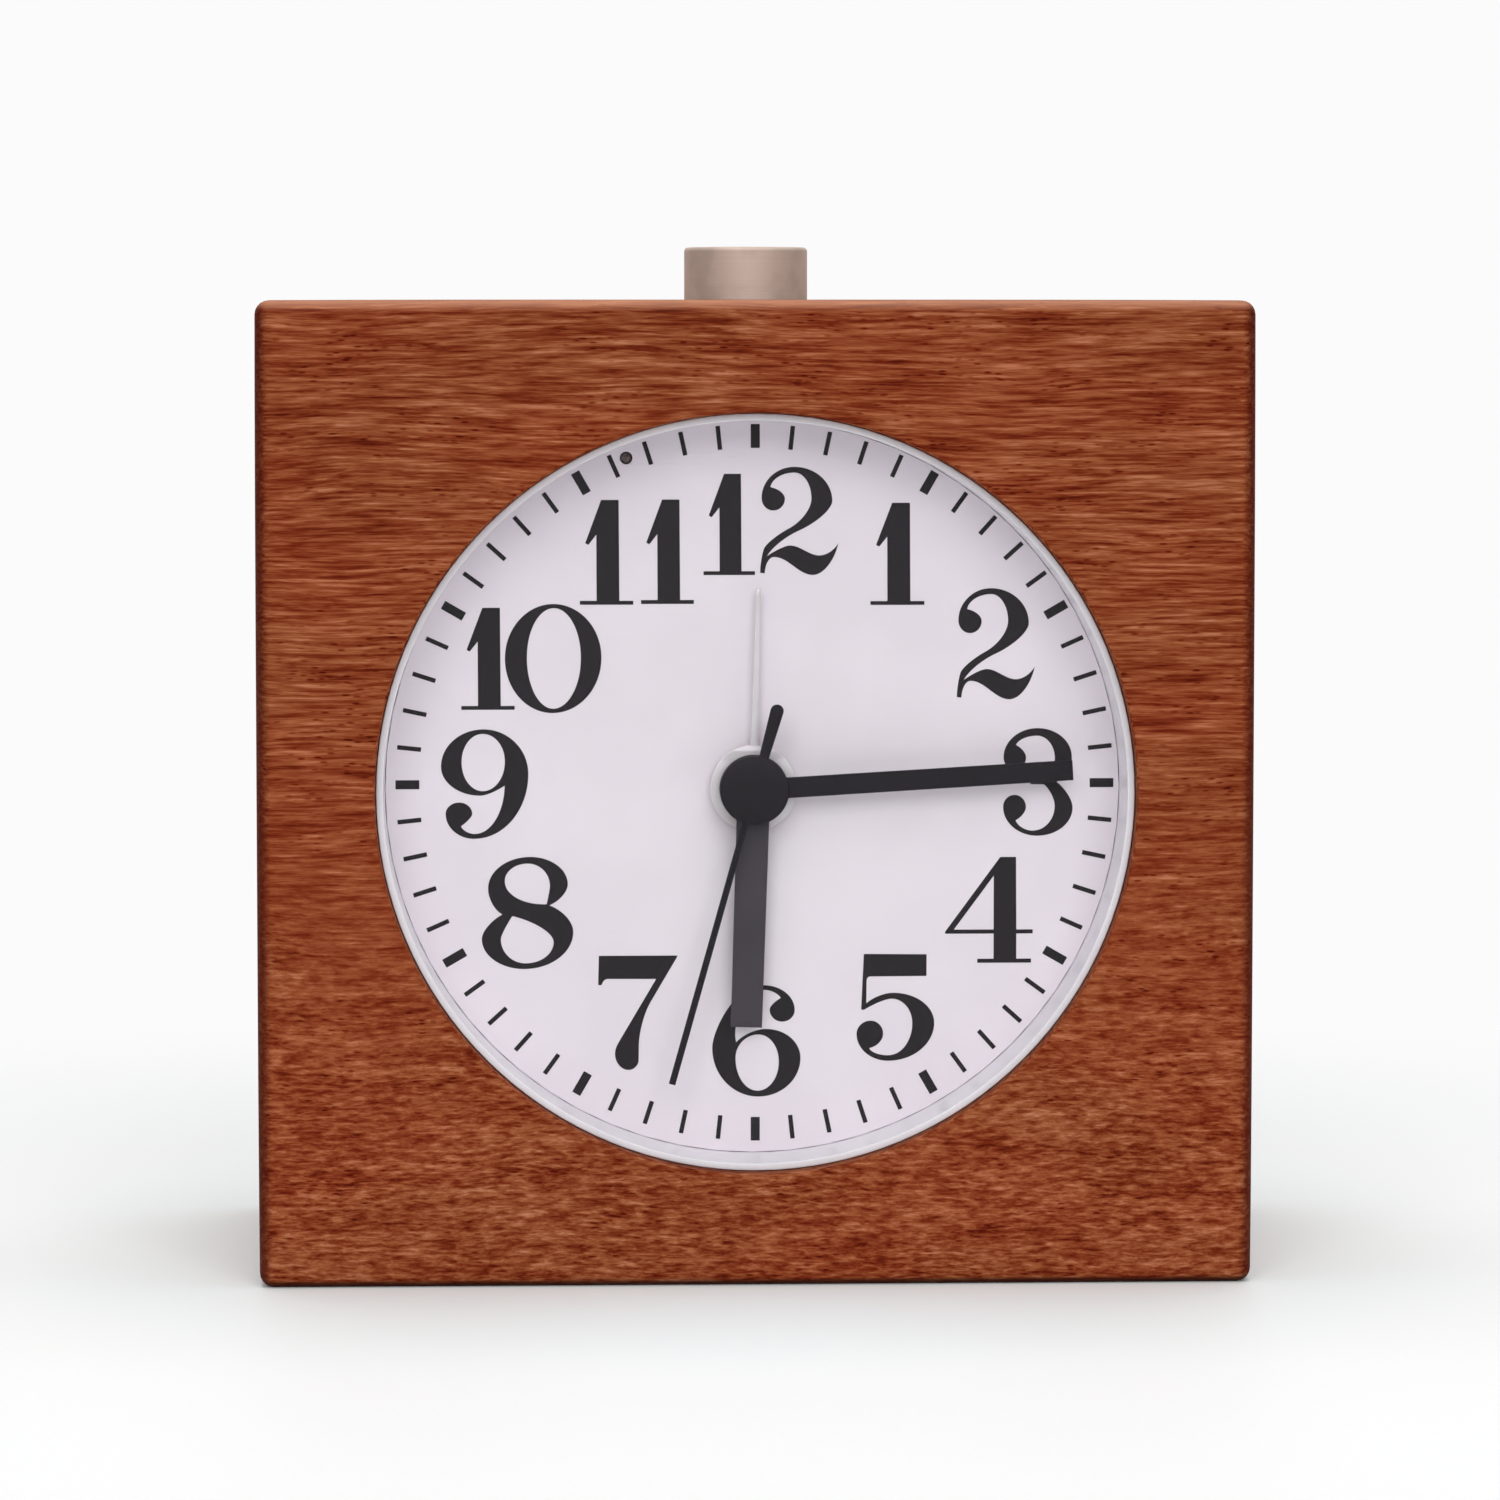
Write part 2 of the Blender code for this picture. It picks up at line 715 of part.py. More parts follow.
def make_canister():
    """White canister: a skirt round the dial, a floor behind it, a tube to the rear and a flange."""
    bm = bmesh.new()
    add_turned(bm, [(centre_hole_radius, floor_front), (skirt_inner_radius, floor_front),
                    (skirt_inner_radius, rim_front), (canister_radius, rim_front),
                    (canister_radius, flange_front), (flange_radius, flange_front),
                    (flange_radius, flange_back), (tube_inner_radius, flange_back),
                    (tube_inner_radius, floor_back), (centre_hole_radius, floor_back)])
    canister = make_piece("dial_canister", bm, white_plastic)

    drills = bmesh.new()
    add_rods(drills, screw_places(shell_screw_circle, shell_screw_turns), shell_screw_radius + fit_gap,
             floor_front + floor_skin, floor_back + overrun)
    add_rods(drills, screw_places(cover_screw_circle, cover_screw_turns), cover_screw_radius + fit_gap,
             flange_front - overrun, flange_back + overrun)
    add_rods(drills, [led_place], led_radius + fit_gap, floor_front - overrun, dial_front + led_length + fit_gap)
    use_tool(canister, drills, "DIFFERENCE", "canister_drills")

    window = bmesh.new()
    add_turned(window, [(0, canister_radius + overrun), (button_window_radius, canister_radius + overrun),
                        (button_window_radius, tube_inner_radius - overrun), (0, tube_inner_radius - overrun)],
               steps=small_steps, axis=(0, 0, 1))
    use_tool(canister, window, "DIFFERENCE", "button_window")


def make_front():
    """Clear disc in front of the hands, and the dial behind them."""
    bm = bmesh.new()
    add_stack(bm, [(circle(canister_radius, large_steps), lens_front, lens_back)])
    make_piece("clear_lens", bm, clear_sheet)

    bm = bmesh.new()
    light_hole = circle(led_radius + fit_gap / 2, small_steps, led_place)
    add_stack(bm, [(circle(dial_radius, large_steps), dial_front, dial_back)],
              bores=[circle(centre_hole_radius), light_hole])
    make_piece("dial", bm, dial_card)


def hand_front(position):
    """Depth of a hand's front face; position 0 is the hand nearest to the dial."""
    return dial_front - hand_lift - position * (hand_thickness + hand_spacing) - hand_thickness


def make_hand(name, outline, position, bore_radius_on_tube, turn, finish):
    """Flat hand with a hole for the tube that carries it, turned clockwise from twelve."""
    bm = bmesh.new()
    front = hand_front(position)
    add_stack(bm, [(outline, front, front + hand_thickness)], bores=[circle(bore_radius_on_tube)])
    make_piece(name, bm, finish, rotation=(0, turn, 0))


def make_hands():
    """The four hands, from the dial outwards."""
    outline = hand(alarm_hub_radius, alarm_root_width, alarm_tip_width, dial_radius - alarm_tip_margin)
    make_hand("alarm_hand", outline, 0, alarm_tube_radius + press_gap, alarm_hand_turn, silver_paint)
    outline = hand(hub_radius, hour_root_width, hour_tip_width, dial_radius - hour_tip_margin)
    make_hand("hour_hand", outline, 1, hour_tube_radius + press_gap, hour_hand_turn, black_paint)
    outline = hand(hub_radius, minute_root_width, minute_tip_width, dial_radius - minute_tip_margin)
    make_hand("minute_hand", outline, 2, cannon_radius + press_gap, minute_hand_turn, black_paint)
    outline = hand(hub_radius, second_root_width, second_tip_width, dial_radius - second_tip_margin,
                   (second_tail_root_width, second_tail_end_width, second_tail_length))
    make_hand("second_hand", outline, 3, arbor_radius + press_gap, second_hand_turn, black_paint)


def make_arbor(name, finish, layers, place=dial_axis, bore=None):
    """Piece that turns on one axis: wheel, pinion and arbor in one."""
    bm = bmesh.new()
    add_stack(bm, layers, bores=[circle(bore)] if bore else ())
    make_piece(name, bm, finish, place)


def make_motion_work():
    """Wheels behind the dial that carry the minute, hour and alarm hands, and the arbors that set them."""
    arbor = circle(arbor_radius, tiny_steps)
    shaft = circle(shaft_radius)
    front_end = shell_front + fit_gap
    back_end = back_plate_back - fit_gap

    module = pair_module(minute_works_distance, cannon_pinion_teeth, minute_works_wheel_teeth)
    cannon_phase = 0
    works_phase = meshing_phase(cannon_pinion_teeth, cannon_phase, minute_works_turn, minute_works_wheel_teeth)
    make_arbor("cannon_pinion", brass, [
        (circle(cannon_radius), hand_front(2), layer_front(minute_layer)),
        (gear(cannon_pinion_teeth, module, cannon_phase), layer_front(minute_layer), layer_back(minute_layer)),
        (circle(cannon_radius), layer_back(minute_layer), layer_back(centre_layer)),
    ], bore=cannon_bore)

    pinion_module = pair_module(minute_works_distance, minute_works_pinion_teeth, hour_wheel_teeth)
    hour_phase = 0
    pinion_phase = meshing_phase(hour_wheel_teeth, hour_phase, minute_works_turn, minute_works_pinion_teeth)
    pinion = gear(minute_works_pinion_teeth, pinion_module, pinion_phase)
    make_arbor("minute_works_wheel", gear_plastic, [
        (arbor, front_end, layer_front(hour_layer)),
        (pinion, layer_front(hour_layer), layer_front(minute_layer)),
        (gear(minute_works_wheel_teeth, module, works_phase), layer_front(minute_layer), layer_back(minute_layer)),
        (arbor, layer_back(minute_layer), back_end),
    ], minute_works_place)
    make_arbor("hour_wheel", gear_plastic, [
        (circle(hour_tube_radius), hand_front(1), layer_front(hour_layer)),
        (gear(hour_wheel_teeth, pinion_module, hour_phase), layer_front(hour_layer), layer_back(hour_layer)),
    ], bore=hour_bore)

    set_module = pair_module(time_set_distance, time_set_pinion_teeth, minute_works_wheel_teeth)
    set_phase = meshing_phase(minute_works_wheel_teeth, works_phase, time_set_turn, time_set_pinion_teeth)
    make_arbor("time_set_shaft", black_plastic, [
        (arbor, front_end, layer_front(minute_layer)),
        (gear(time_set_pinion_teeth, set_module, set_phase), layer_front(minute_layer), layer_back(minute_layer)),
        (shaft, layer_back(minute_layer), shaft_end),
    ], time_set_place)

    alarm_module = pair_module(alarm_set_distance, alarm_wheel_teeth, alarm_set_pinion_teeth)
    alarm_phase = 0
    set_phase = meshing_phase(alarm_wheel_teeth, alarm_phase, alarm_set_turn, alarm_set_pinion_teeth)
    make_arbor("alarm_wheel", gear_plastic, [
        (circle(alarm_tube_radius), hand_front(0), layer_front(alarm_layer)),
        (gear(alarm_wheel_teeth, alarm_module, alarm_phase), layer_front(alarm_layer), layer_back(alarm_layer)),
    ], bore=alarm_bore)
    make_arbor("alarm_set_shaft", black_plastic, [
        (arbor, front_end, layer_front(alarm_layer)),
        (gear(alarm_set_pinion_teeth, alarm_module, set_phase), layer_front(alarm_layer), layer_back(alarm_layer)),
        (shaft, layer_back(alarm_layer), shaft_end),
    ], alarm_set_place)


def make_going_train():
    """Wheels from the motor's rotor to the centre wheel, which turns once an hour."""
    arbor = circle(arbor_radius, tiny_steps)
    front_end = shell_front + fit_gap
    bridge_end = layer_front(third_layer) + fit_gap / 2
    back_end = back_plate_back - fit_gap

    module = pair_module(third_distance, seconds_pinion_teeth, third_wheel_teeth)
    third_phase = meshing_phase(seconds_pinion_teeth, 0, third_turn, third_wheel_teeth)
    wheel_module = pair_module(fifth_distance, fifth_pinion_teeth, seconds_wheel_teeth)
    seconds_phase = 0
    pinion_phase = meshing_phase(seconds_wheel_teeth, seconds_phase, fifth_turn, fifth_pinion_teeth)
    make_arbor("seconds_wheel", gear_plastic, [
        (arbor, hand_front(3), layer_front(third_layer)),
        (gear(seconds_pinion_teeth, module, 0), layer_front(third_layer), layer_front(seconds_layer)),
        (gear(seconds_wheel_teeth, wheel_module, seconds_phase), layer_front(seconds_layer),
         layer_back(seconds_layer)),
        (arbor, layer_back(seconds_layer), back_end),
    ])

    centre_module = pair_module(third_distance, third_pinion_teeth, centre_wheel_teeth)
    third_pinion_phase = meshing_phase(centre_wheel_teeth, 0, third_turn, third_pinion_teeth)
    make_arbor("third_wheel", gear_plastic, [
        (arbor, front_end, layer_front(centre_layer)),
        (gear(third_pinion_teeth, centre_module, third_pinion_phase), layer_front(centre_layer),
         layer_front(third_layer)),
        (gear(third_wheel_teeth, module, third_phase), layer_front(third_layer), layer_back(third_layer)),
        (arbor, layer_back(third_layer), back_end),
    ], third_place)
    make_arbor("centre_wheel", gear_plastic, [
        (gear(centre_wheel_teeth, centre_module, 0), layer_front(centre_layer), layer_back(centre_layer)),
    ], bore=cannon_radius + running_gap)

    rotor_module = pair_module(rotor_distance, rotor_pinion_teeth, fifth_wheel_teeth)
    rotor_phase = meshing_phase(fifth_wheel_teeth, 0, rotor_turn, rotor_pinion_teeth)
    make_arbor("fifth_wheel", gear_plastic, [
        (arbor, bridge_end, layer_front(seconds_layer)),
        (gear(fifth_pinion_teeth, wheel_module, pinion_phase), layer_front(seconds_layer),
         layer_front(fifth_layer)),
        (gear(fifth_wheel_teeth, rotor_module, 0), layer_front(fifth_layer), layer_back(fifth_layer)),
        (arbor, layer_back(fifth_layer), back_end),
    ], fifth_place)
    make_arbor("rotor", magnet_grey, [
        (arbor, bridge_end, layer_front(fifth_layer)),
        (gear(rotor_pinion_teeth, rotor_module, rotor_phase), layer_front(fifth_layer), layer_front(motor_layer)),
        (circle(magnet_radius), layer_front(motor_layer), layer_back(motor_layer)),
        (arbor, layer_back(motor_layer), back_end),
    ], rotor_place)


def make_shells():
    """Front and back shells of the movement, and the bridge between them."""
    arbor_hole = arbor_radius + running_gap
    shaft_hole = shaft_radius + running_gap
    screw_hole = shell_screw_radius + fit_gap
    screws = screw_places(shell_screw_circle, shell_screw_turns)

    bm = bmesh.new()
    add_turned(bm, [(centre_hole_radius, shell_front), (shell_radius, shell_front),
                    (shell_radius, shell_split), (shell_inner_radius, shell_split),
                    (shell_inner_radius, front_plate_back), (centre_hole_radius, front_plate_back)],
               steps=middle_steps)
    front = make_piece("movement_front_shell", bm, clear_grey_plastic)
    drills = bmesh.new()
    front_arbors = [minute_works_place, third_place, time_set_place, alarm_set_place]
    add_rods(drills, front_arbors, arbor_hole, shell_front - overrun, front_plate_back + overrun)
    add_rods(drills, screws, screw_hole, shell_front - overrun, front_plate_back + overrun)
    use_tool(front, drills, "DIFFERENCE", "front_shell_drills")

    bm = bmesh.new()
    add_turned(bm, [(arbor_hole, back_plate_back), (arbor_hole, back_plate_front),
                    (shell_inner_radius, back_plate_front), (shell_inner_radius, shell_split + fit_gap),
                    (shell_radius, shell_split + fit_gap), (shell_radius, back_plate_back)],
               steps=middle_steps)
    back = make_piece("movement_back_shell", bm, clear_grey_plastic)
    posts = bmesh.new()
    spread = board_width * board_post_spread_share
    board_posts = [(board_place[0] + side * spread, board_place[1]) for side in (-1, 1)]
    stator_post = (coil_place[0], rotor_place[1] - magnet_radius - fit_gap)
    add_rods(posts, board_posts + [stator_post], post_radius, layer_back(motor_layer) + fit_gap,
             back_plate_front + shell_plate / 2)
    use_tool(back, posts, "UNION", "back_shell_posts")
    drills = bmesh.new()
    back_arbors = [minute_works_place, third_place, fifth_place, rotor_place]
    add_rods(drills, back_arbors, arbor_hole, back_plate_front - overrun, back_plate_back + overrun)
    add_rods(drills, [time_set_place, alarm_set_place], shaft_hole, back_plate_front - overrun,
             back_plate_back + overrun)
    add_rods(drills, screws, screw_hole, back_plate_front - overrun, back_plate_back + overrun)
    use_tool(back, drills, "DIFFERENCE", "back_shell_drills")

    rim = shell_inner_radius - fit_gap
    first = math.pi - math.asin(bridge_top / rim)
    last = math.pi - math.asin(bridge_bottom / rim)
    outline = [(bridge_edge, bridge_top)]
    for step in range(small_steps + 1):
        outline.append(stepped(dial_axis, rim, first + (last - first) * step / small_steps))
    outline.append((bridge_edge, bridge_bottom))
    bm = bmesh.new()
    holes = [circle(arbor_hole, tiny_steps, place) for place in (fifth_place, rotor_place)]
    add_stack(bm, [(outline, layer_front(third_layer), layer_back(third_layer))], bores=holes)
    bridge = make_piece("train_bridge", bm, clear_grey_plastic)
    legs = bmesh.new()
    add_rods(legs, screw_places(bridge_post_circle, bridge_post_turns), post_radius,
             front_plate_back + fit_gap, layer_front(third_layer) + wheel_thickness / 2)
    use_tool(bridge, legs, "UNION", "bridge_legs")


def make_motor():
    """Stator plate round the rotor, and the coil that bridges its two legs."""
    core_half = core_length / 2
    left_leg = coil_place[0] - core_half - fit_gap
    right_leg = coil_place[0] + core_half + fit_gap
    leg_end = coil_place[1] - core_width / 2
    body_bottom = rotor_place[1] - stator_reach
    arm_top = rotor_place[1] - stator_reach + 2 * stator_leg_width
    outline = [
        (rotor_place[0] - stator_reach, rotor_place[1] + stator_reach),
        (rotor_place[0] + stator_reach, rotor_place[1] + stator_reach),
        (rotor_place[0] + stator_reach, arm_top),
        (stator_right_reach, arm_top),
        (right_leg + stator_leg_width, body_bottom + stator_leg_width),
        (right_leg + stator_leg_width, leg_end),
        (right_leg, leg_end),
        (right_leg, body_bottom),
        (left_leg, body_bottom),
        (left_leg, leg_end),
        (left_leg - stator_leg_width, leg_end),
        (left_leg - stator_leg_width, body_bottom),
        (rotor_place[0] - stator_reach, body_bottom),
    ]
    bm = bmesh.new()
    add_stack(bm, [(outline, layer_front(motor_layer), layer_back(motor_layer))],
              bores=[circle(stator_window, small_steps, rotor_place)])
    make_piece("stator", bm, plated_steel)

    half = coil_length / 2
    inner_half = half - coil_flange_thickness
    bm = bmesh.new()
    add_turned(bm, [(0, -half), (coil_flange_radius, -half), (coil_flange_radius, -inner_half),
                    (coil_winding_radius, -inner_half), (coil_winding_radius, inner_half),
                    (coil_flange_radius, inner_half), (coil_flange_radius, half), (0, half)],
               steps=small_steps, axis=(1, 0, 0), across=(0, 0, 1))
    bmesh.ops.translate(bm, verts=bm.verts, vec=(0, motor_middle, 0))
    coil = make_piece("motor_coil", bm, copper_wire, coil_place)
    core = bmesh.new()
    add_box(core, (-core_half, layer_front(motor_layer), -core_width / 2),
            (core_half, layer_back(motor_layer), core_width / 2))
    use_tool(coil, core, "UNION", "coil_core", coil_place)


def make_electronics():
    """Circuit board with its chip and crystal, the alarm contact, the buzzer and the night light."""
    board_front = layer_front(motor_layer)
    board_back = board_front + board_thickness
    bm = bmesh.new()
    add_stack(bm, [(rectangle(board_width, board_height), board_front, board_back)])
    make_piece("circuit_board", bm, board_green, board_place)

    chip_front = board_back + press_gap
    bm = bmesh.new()
    add_turned(bm, [(0, chip_front), (chip_radius, chip_front),
                    (chip_radius * chip_shoulder_share, chip_front + chip_height * chip_shoulder_height_share),
                    (chip_radius * chip_top_share, chip_front + chip_height), (0, chip_front + chip_height)],
               steps=small_steps)
    make_piece("clock_chip", bm, black_plastic, board_place)

    bm = bmesh.new()
    add_turned(bm, [(0, -crystal_length / 2), (crystal_radius, -crystal_length / 2),
                    (crystal_radius, crystal_length / 2), (0, crystal_length / 2)],
               steps=small_steps, axis=(1, 0, 0), across=(0, 0, 1))
    bmesh.ops.translate(bm, verts=bm.verts, vec=(0, board_front - fit_gap - crystal_radius, 0))
    make_piece("quartz_crystal", bm, plated_steel, board_place)

    alarm_module = pair_module(alarm_set_distance, alarm_wheel_teeth, alarm_set_pinion_teeth)
    rim = alarm_module * (alarm_wheel_teeth / 2 + tooth_tip_share) + fit_gap
    half = contact_height / 2
    outline = [(rim, half), (rim, -half), (rim + contact_foot, -half), (rim + contact_foot, -half + contact_foot),
               (rim + contact_thickness, -half + contact_foot), (rim + contact_thickness, half)]
    bm = bmesh.new()
    add_stack(bm, [(outline, front_plate_back + fit_gap, layer_back(alarm_layer))])
    make_piece("alarm_contact", bm, brass)

    buzzer_back = cover_front - fit_gap
    bm = bmesh.new()
    add_turned(bm, [(0, buzzer_back - buzzer_height), (buzzer_radius, buzzer_back - buzzer_height),
                    (buzzer_radius, buzzer_back), (buzzer_mouth_radius, buzzer_back),
                    (buzzer_mouth_radius, buzzer_back - buzzer_mouth_depth),
                    (0, buzzer_back - buzzer_mouth_depth)],
               steps=middle_steps)
    make_piece("buzzer", bm, black_plastic, buzzer_place)

    led_front = dial_front - led_proud
    bm = bmesh.new()
    add_turned(bm, [(0, led_front), (led_radius * led_tip_share, led_front + led_radius * led_tip_height_share),
                    (led_radius, led_front + led_radius), (led_radius, dial_front + led_length),
                    (0, dial_front + led_length)], steps=small_steps)
    make_piece("night_light_led", bm, amber_resin, led_place)


def make_screw(name, place, shank, head, head_height, length, head_front):
    """Cross-head screw whose head rests at head_front and whose shank runs forward from it."""
    bm = bmesh.new()
    add_stack(bm, [(circle(shank, tiny_steps), head_front - length, head_front),
                   (circle(head, 2 * tiny_steps), head_front, head_front + head_height)])
    screw = make_piece(name, bm, plated_steel, place)
    recess = bmesh.new()
    outline = cross(head * driver_reach_share, head * driver_slot_share / 2)
    add_stack(recess, [(outline, head_front + head_height * (1 - driver_depth_share),
                        head_front + head_height + overrun)])
    use_tool(screw, recess, "DIFFERENCE", name + "_recess", place)


def make_screws():
    """Four screws that hold the movement, and four that hold the rear cover to the wood."""
    head_front = back_plate_back + fit_gap
    length = head_front - floor_front - floor_skin - fit_gap
    for number, place in enumerate(screw_places(shell_screw_circle, shell_screw_turns), 1):
        make_screw(f"movement_screw_{number}", place, shell_screw_radius, shell_screw_head_radius,
                   shell_screw_head, length, head_front)
    for number, place in enumerate(screw_places(cover_screw_circle, cover_screw_turns), 1):
        make_screw(f"cover_screw_{number}", place, cover_screw_radius, cover_screw_head_radius,
                   cover_screw_head, cover_screw_length, cover_back + fit_gap)


def make_rear():
    """Rear cover with its battery trough, and the door that closes it."""
    shaft_hole = shaft_radius + fit_gap
    holes = [circle(shaft_hole, small_steps, place) for place in (time_set_place, alarm_set_place)]
    holes += [circle(cover_screw_radius + fit_gap, tiny_steps, place)
              for place in screw_places(cover_screw_circle, cover_screw_turns)]
    hole_turns = [2 * math.pi * hole / sound_holes_round for hole in range(sound_holes_round)]
    sound_places = [buzzer_place] + [stepped(buzzer_place, sound_hole_circle, turn) for turn in hole_turns]
    holes += [circle(sound_hole_radius, tiny_steps, place) for place in sound_places]
    holes.append(rectangle(slider_tab_width + switch_travel + 2 * fit_gap, slider_tab_height + 2 * fit_gap,
                           (0, switch_height)))
    bm = bmesh.new()
    add_stack(bm, [(circle(flange_radius, large_steps), cover_front, cover_back)], bores=holes)
    cover = make_piece("rear_cover", bm, white_plastic)

    trough = bmesh.new()
    add_stack(trough, [(rectangle(trough_length, trough_height), trough_front,
                        cover_front + cover_thickness / 4)], place=(0, cell_height))
    use_tool(cover, trough, "UNION", "battery_trough")
    space = bmesh.new()
    add_stack(space, [(rectangle(trough_inner_length, trough_inner_height), trough_floor, door_front - fit_gap),
                      (rectangle(door_length + 2 * fit_gap, door_height + 2 * fit_gap, corner=door_corner),
                       door_front - fit_gap, cover_back + overrun)], place=(0, cell_height))
    use_tool(cover, space, "DIFFERENCE", "battery_space")

    bm = bmesh.new()
    add_stack(bm, [(rectangle(door_length, door_height, corner=door_corner), door_front, cover_back)])
    make_piece("battery_door", bm, white_plastic, (0, cell_height))


def make_battery():
    """The cell, the flat contact at its nub and the spring at its base."""
    half = cell_length / 2
    bm = bmesh.new()
    add_turned(bm, [(0, -half), (cell_radius, -half), (cell_radius, half - cell_nub_length),
                    (cell_nub_radius, half - cell_nub_length), (cell_nub_radius, half), (0, half)],
               steps=middle_steps, axis=(1, 0, 0), across=(0, 0, 1))
    bmesh.ops.translate(bm, verts=bm.verts, vec=(0, cell_middle, 0))
    make_piece("battery_cell", bm, cell_sleeve, (0, cell_height))

    wall = trough_inner_length / 2 - fit_gap
    contact_half = plate_contact_size / 2
    bm = bmesh.new()
    add_box(bm, (wall - plate_contact_thickness, cell_middle - contact_half, -contact_half),
            (wall, cell_middle + contact_half, contact_half))
    bump = cell_nub_radius
    bump_bm = bmesh.new()
    add_turned(bump_bm, [(0, half + fit_gap), (bump, half + fit_gap), (bump, wall - plate_contact_thickness / 2),
                         (0, wall - plate_contact_thickness / 2)],
               steps=small_steps, axis=(1, 0, 0), across=(0, 0, 1))
    bmesh.ops.translate(bump_bm, verts=bump_bm.verts, vec=(0, cell_middle, 0))
    contact = make_piece("positive_contact", bm, plated_steel, (0, cell_height))
    use_tool(contact, bump_bm, "UNION", "contact_bump", (0, cell_height))

    make_coil("negative_contact_spring", (cell_spring_outer_radius, cell_spring_inner_radius), cell_spring_wire,
              cell_spring_turns, contact_space - 2 * fit_gap, spring_steel,
              (-wall, cell_middle, axis_height + cell_height), (0, math.pi / 2, 0))
    make_lead("battery_lead_red", 1, red_sleeve)
    make_lead("battery_lead_black", -1, black_sleeve)


def make_knobs():
    """Knobs pressed on the ends of the two setting shafts."""
    for name, place in (("time_set_knob", time_set_place), ("alarm_set_knob", alarm_set_place)):
        bm = bmesh.new()
        add_stack(bm, [(fluted(knob_radius, knob_flute_depth, knob_flutes), knob_front, knob_back)])
        knob = make_piece(name, bm, black_plastic, place)
        socket = bmesh.new()
        add_rods(socket, [dial_axis], shaft_radius + press_gap, knob_front - overrun, shaft_end + fit_gap)
        use_tool(knob, socket, "DIFFERENCE", name + "_socket", place)


def make_alarm_switch():
    """Slide switch behind the cover: an open body and the slider that pokes through the cover's slot."""
    body_back = cover_front - fit_gap
    pocket_width = slider_base_width + switch_travel + 2 * fit_gap
    pocket_height = slider_base_height + 2 * fit_gap
    pocket_floor = body_back - switch_pocket_depth
    place = (0, switch_height)
    bm = bmesh.new()
    add_stack(bm, [(rectangle(pocket_width + 2 * switch_wall, pocket_height + 2 * switch_wall),
                    body_back - switch_body_depth, body_back)])
    body = make_piece("alarm_switch_body", bm, plated_steel, place)
    pocket = bmesh.new()
    add_stack(pocket, [(rectangle(pocket_width, pocket_height), pocket_floor, body_back + overrun)])
    use_tool(body, pocket, "DIFFERENCE", "switch_pocket", place)

    base_front = pocket_floor + fit_gap
    base_back = base_front + slider_base_thickness
    bm = bmesh.new()
    add_stack(bm, [(rectangle(slider_base_width, slider_base_height), base_front, base_back),
                   (rectangle(slider_tab_width, slider_tab_height), base_back, cover_back + slider_tab_proud)])
    make_piece("alarm_switch_slider", bm, black_plastic, (slider_rest, switch_height))


def make_snooze():
    """Snooze button with its stem, the spring inside it, and the push switch under the stem."""
    top = case_height + button_proud
    inner_radius = button_radius - button_wall
    inner_top = top - button_top
    profile = [(0, top), (button_radius - button_edge_round, top), (button_radius, top - button_edge_round),
               (button_radius, button_flange_top), (button_flange_radius, button_flange_top),
               (button_flange_radius, button_flange_bottom), (inner_radius, button_flange_bottom),
               (inner_radius, inner_top),
               (button_stem_radius, inner_top), (button_stem_radius, button_stem_end), (0, button_stem_end)]
    bm = bmesh.new()
    add_turned(bm, [(radius, height - axis_height) for radius, height in profile],
               steps=middle_steps, axis=(0, 0, 1))
    make_piece("snooze_button", bm, champagne_metal)

    make_coil("button_spring", (button_spring_radius, button_spring_radius), button_spring_wire,
              button_spring_turns, inner_top - fit_gap - spring_seat, spring_steel, (0, 0, spring_seat))

    half_width = snooze_board_width / 2
    half_length = snooze_board_length / 2
    bm = bmesh.new()
    add_box(bm, (-half_width, -half_length, snooze_board_seat),
            (half_width, half_length, snooze_board_seat + snooze_board_thickness))
    make_piece("snooze_board", bm, board_green)

    bm = bmesh.new()
    switch_top = snooze_switch_seat + snooze_switch_height
    add_stack(bm, [(rectangle(snooze_switch_size, snooze_switch_size), snooze_switch_seat, switch_top),
                   (circle(snooze_plunger_radius), switch_top, plunger_reach)])
    make_piece("snooze_switch", bm, black_plastic, rotation=(math.pi / 2, 0, 0))


for existing in list(bpy.data.objects):
    bpy.data.objects.remove(existing, do_unlink=True)

make_case()
make_canister()
make_front()
make_hands()
make_motion_work()
make_going_train()
make_shells()
make_motor()
make_electronics()
make_screws()
make_rear()
make_battery()
make_knobs()
make_alarm_switch()
make_snooze()
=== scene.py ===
# %% [markdown]
# # A wooden alarm clock
#
# The clock is a solid block of stained hardwood. A round bore holds a white canister with the dial, the
# hands and the movement, a clear disc closes the front, and a metal snooze button stands on the top. The
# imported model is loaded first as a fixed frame. Each piece that shows is then made again with finer edges
# and fitted to the size that the frame gives, and each finish is a tree of nodes.

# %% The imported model
import math

import bmesh
import bpy
from mathutils import Color, Matrix, Vector


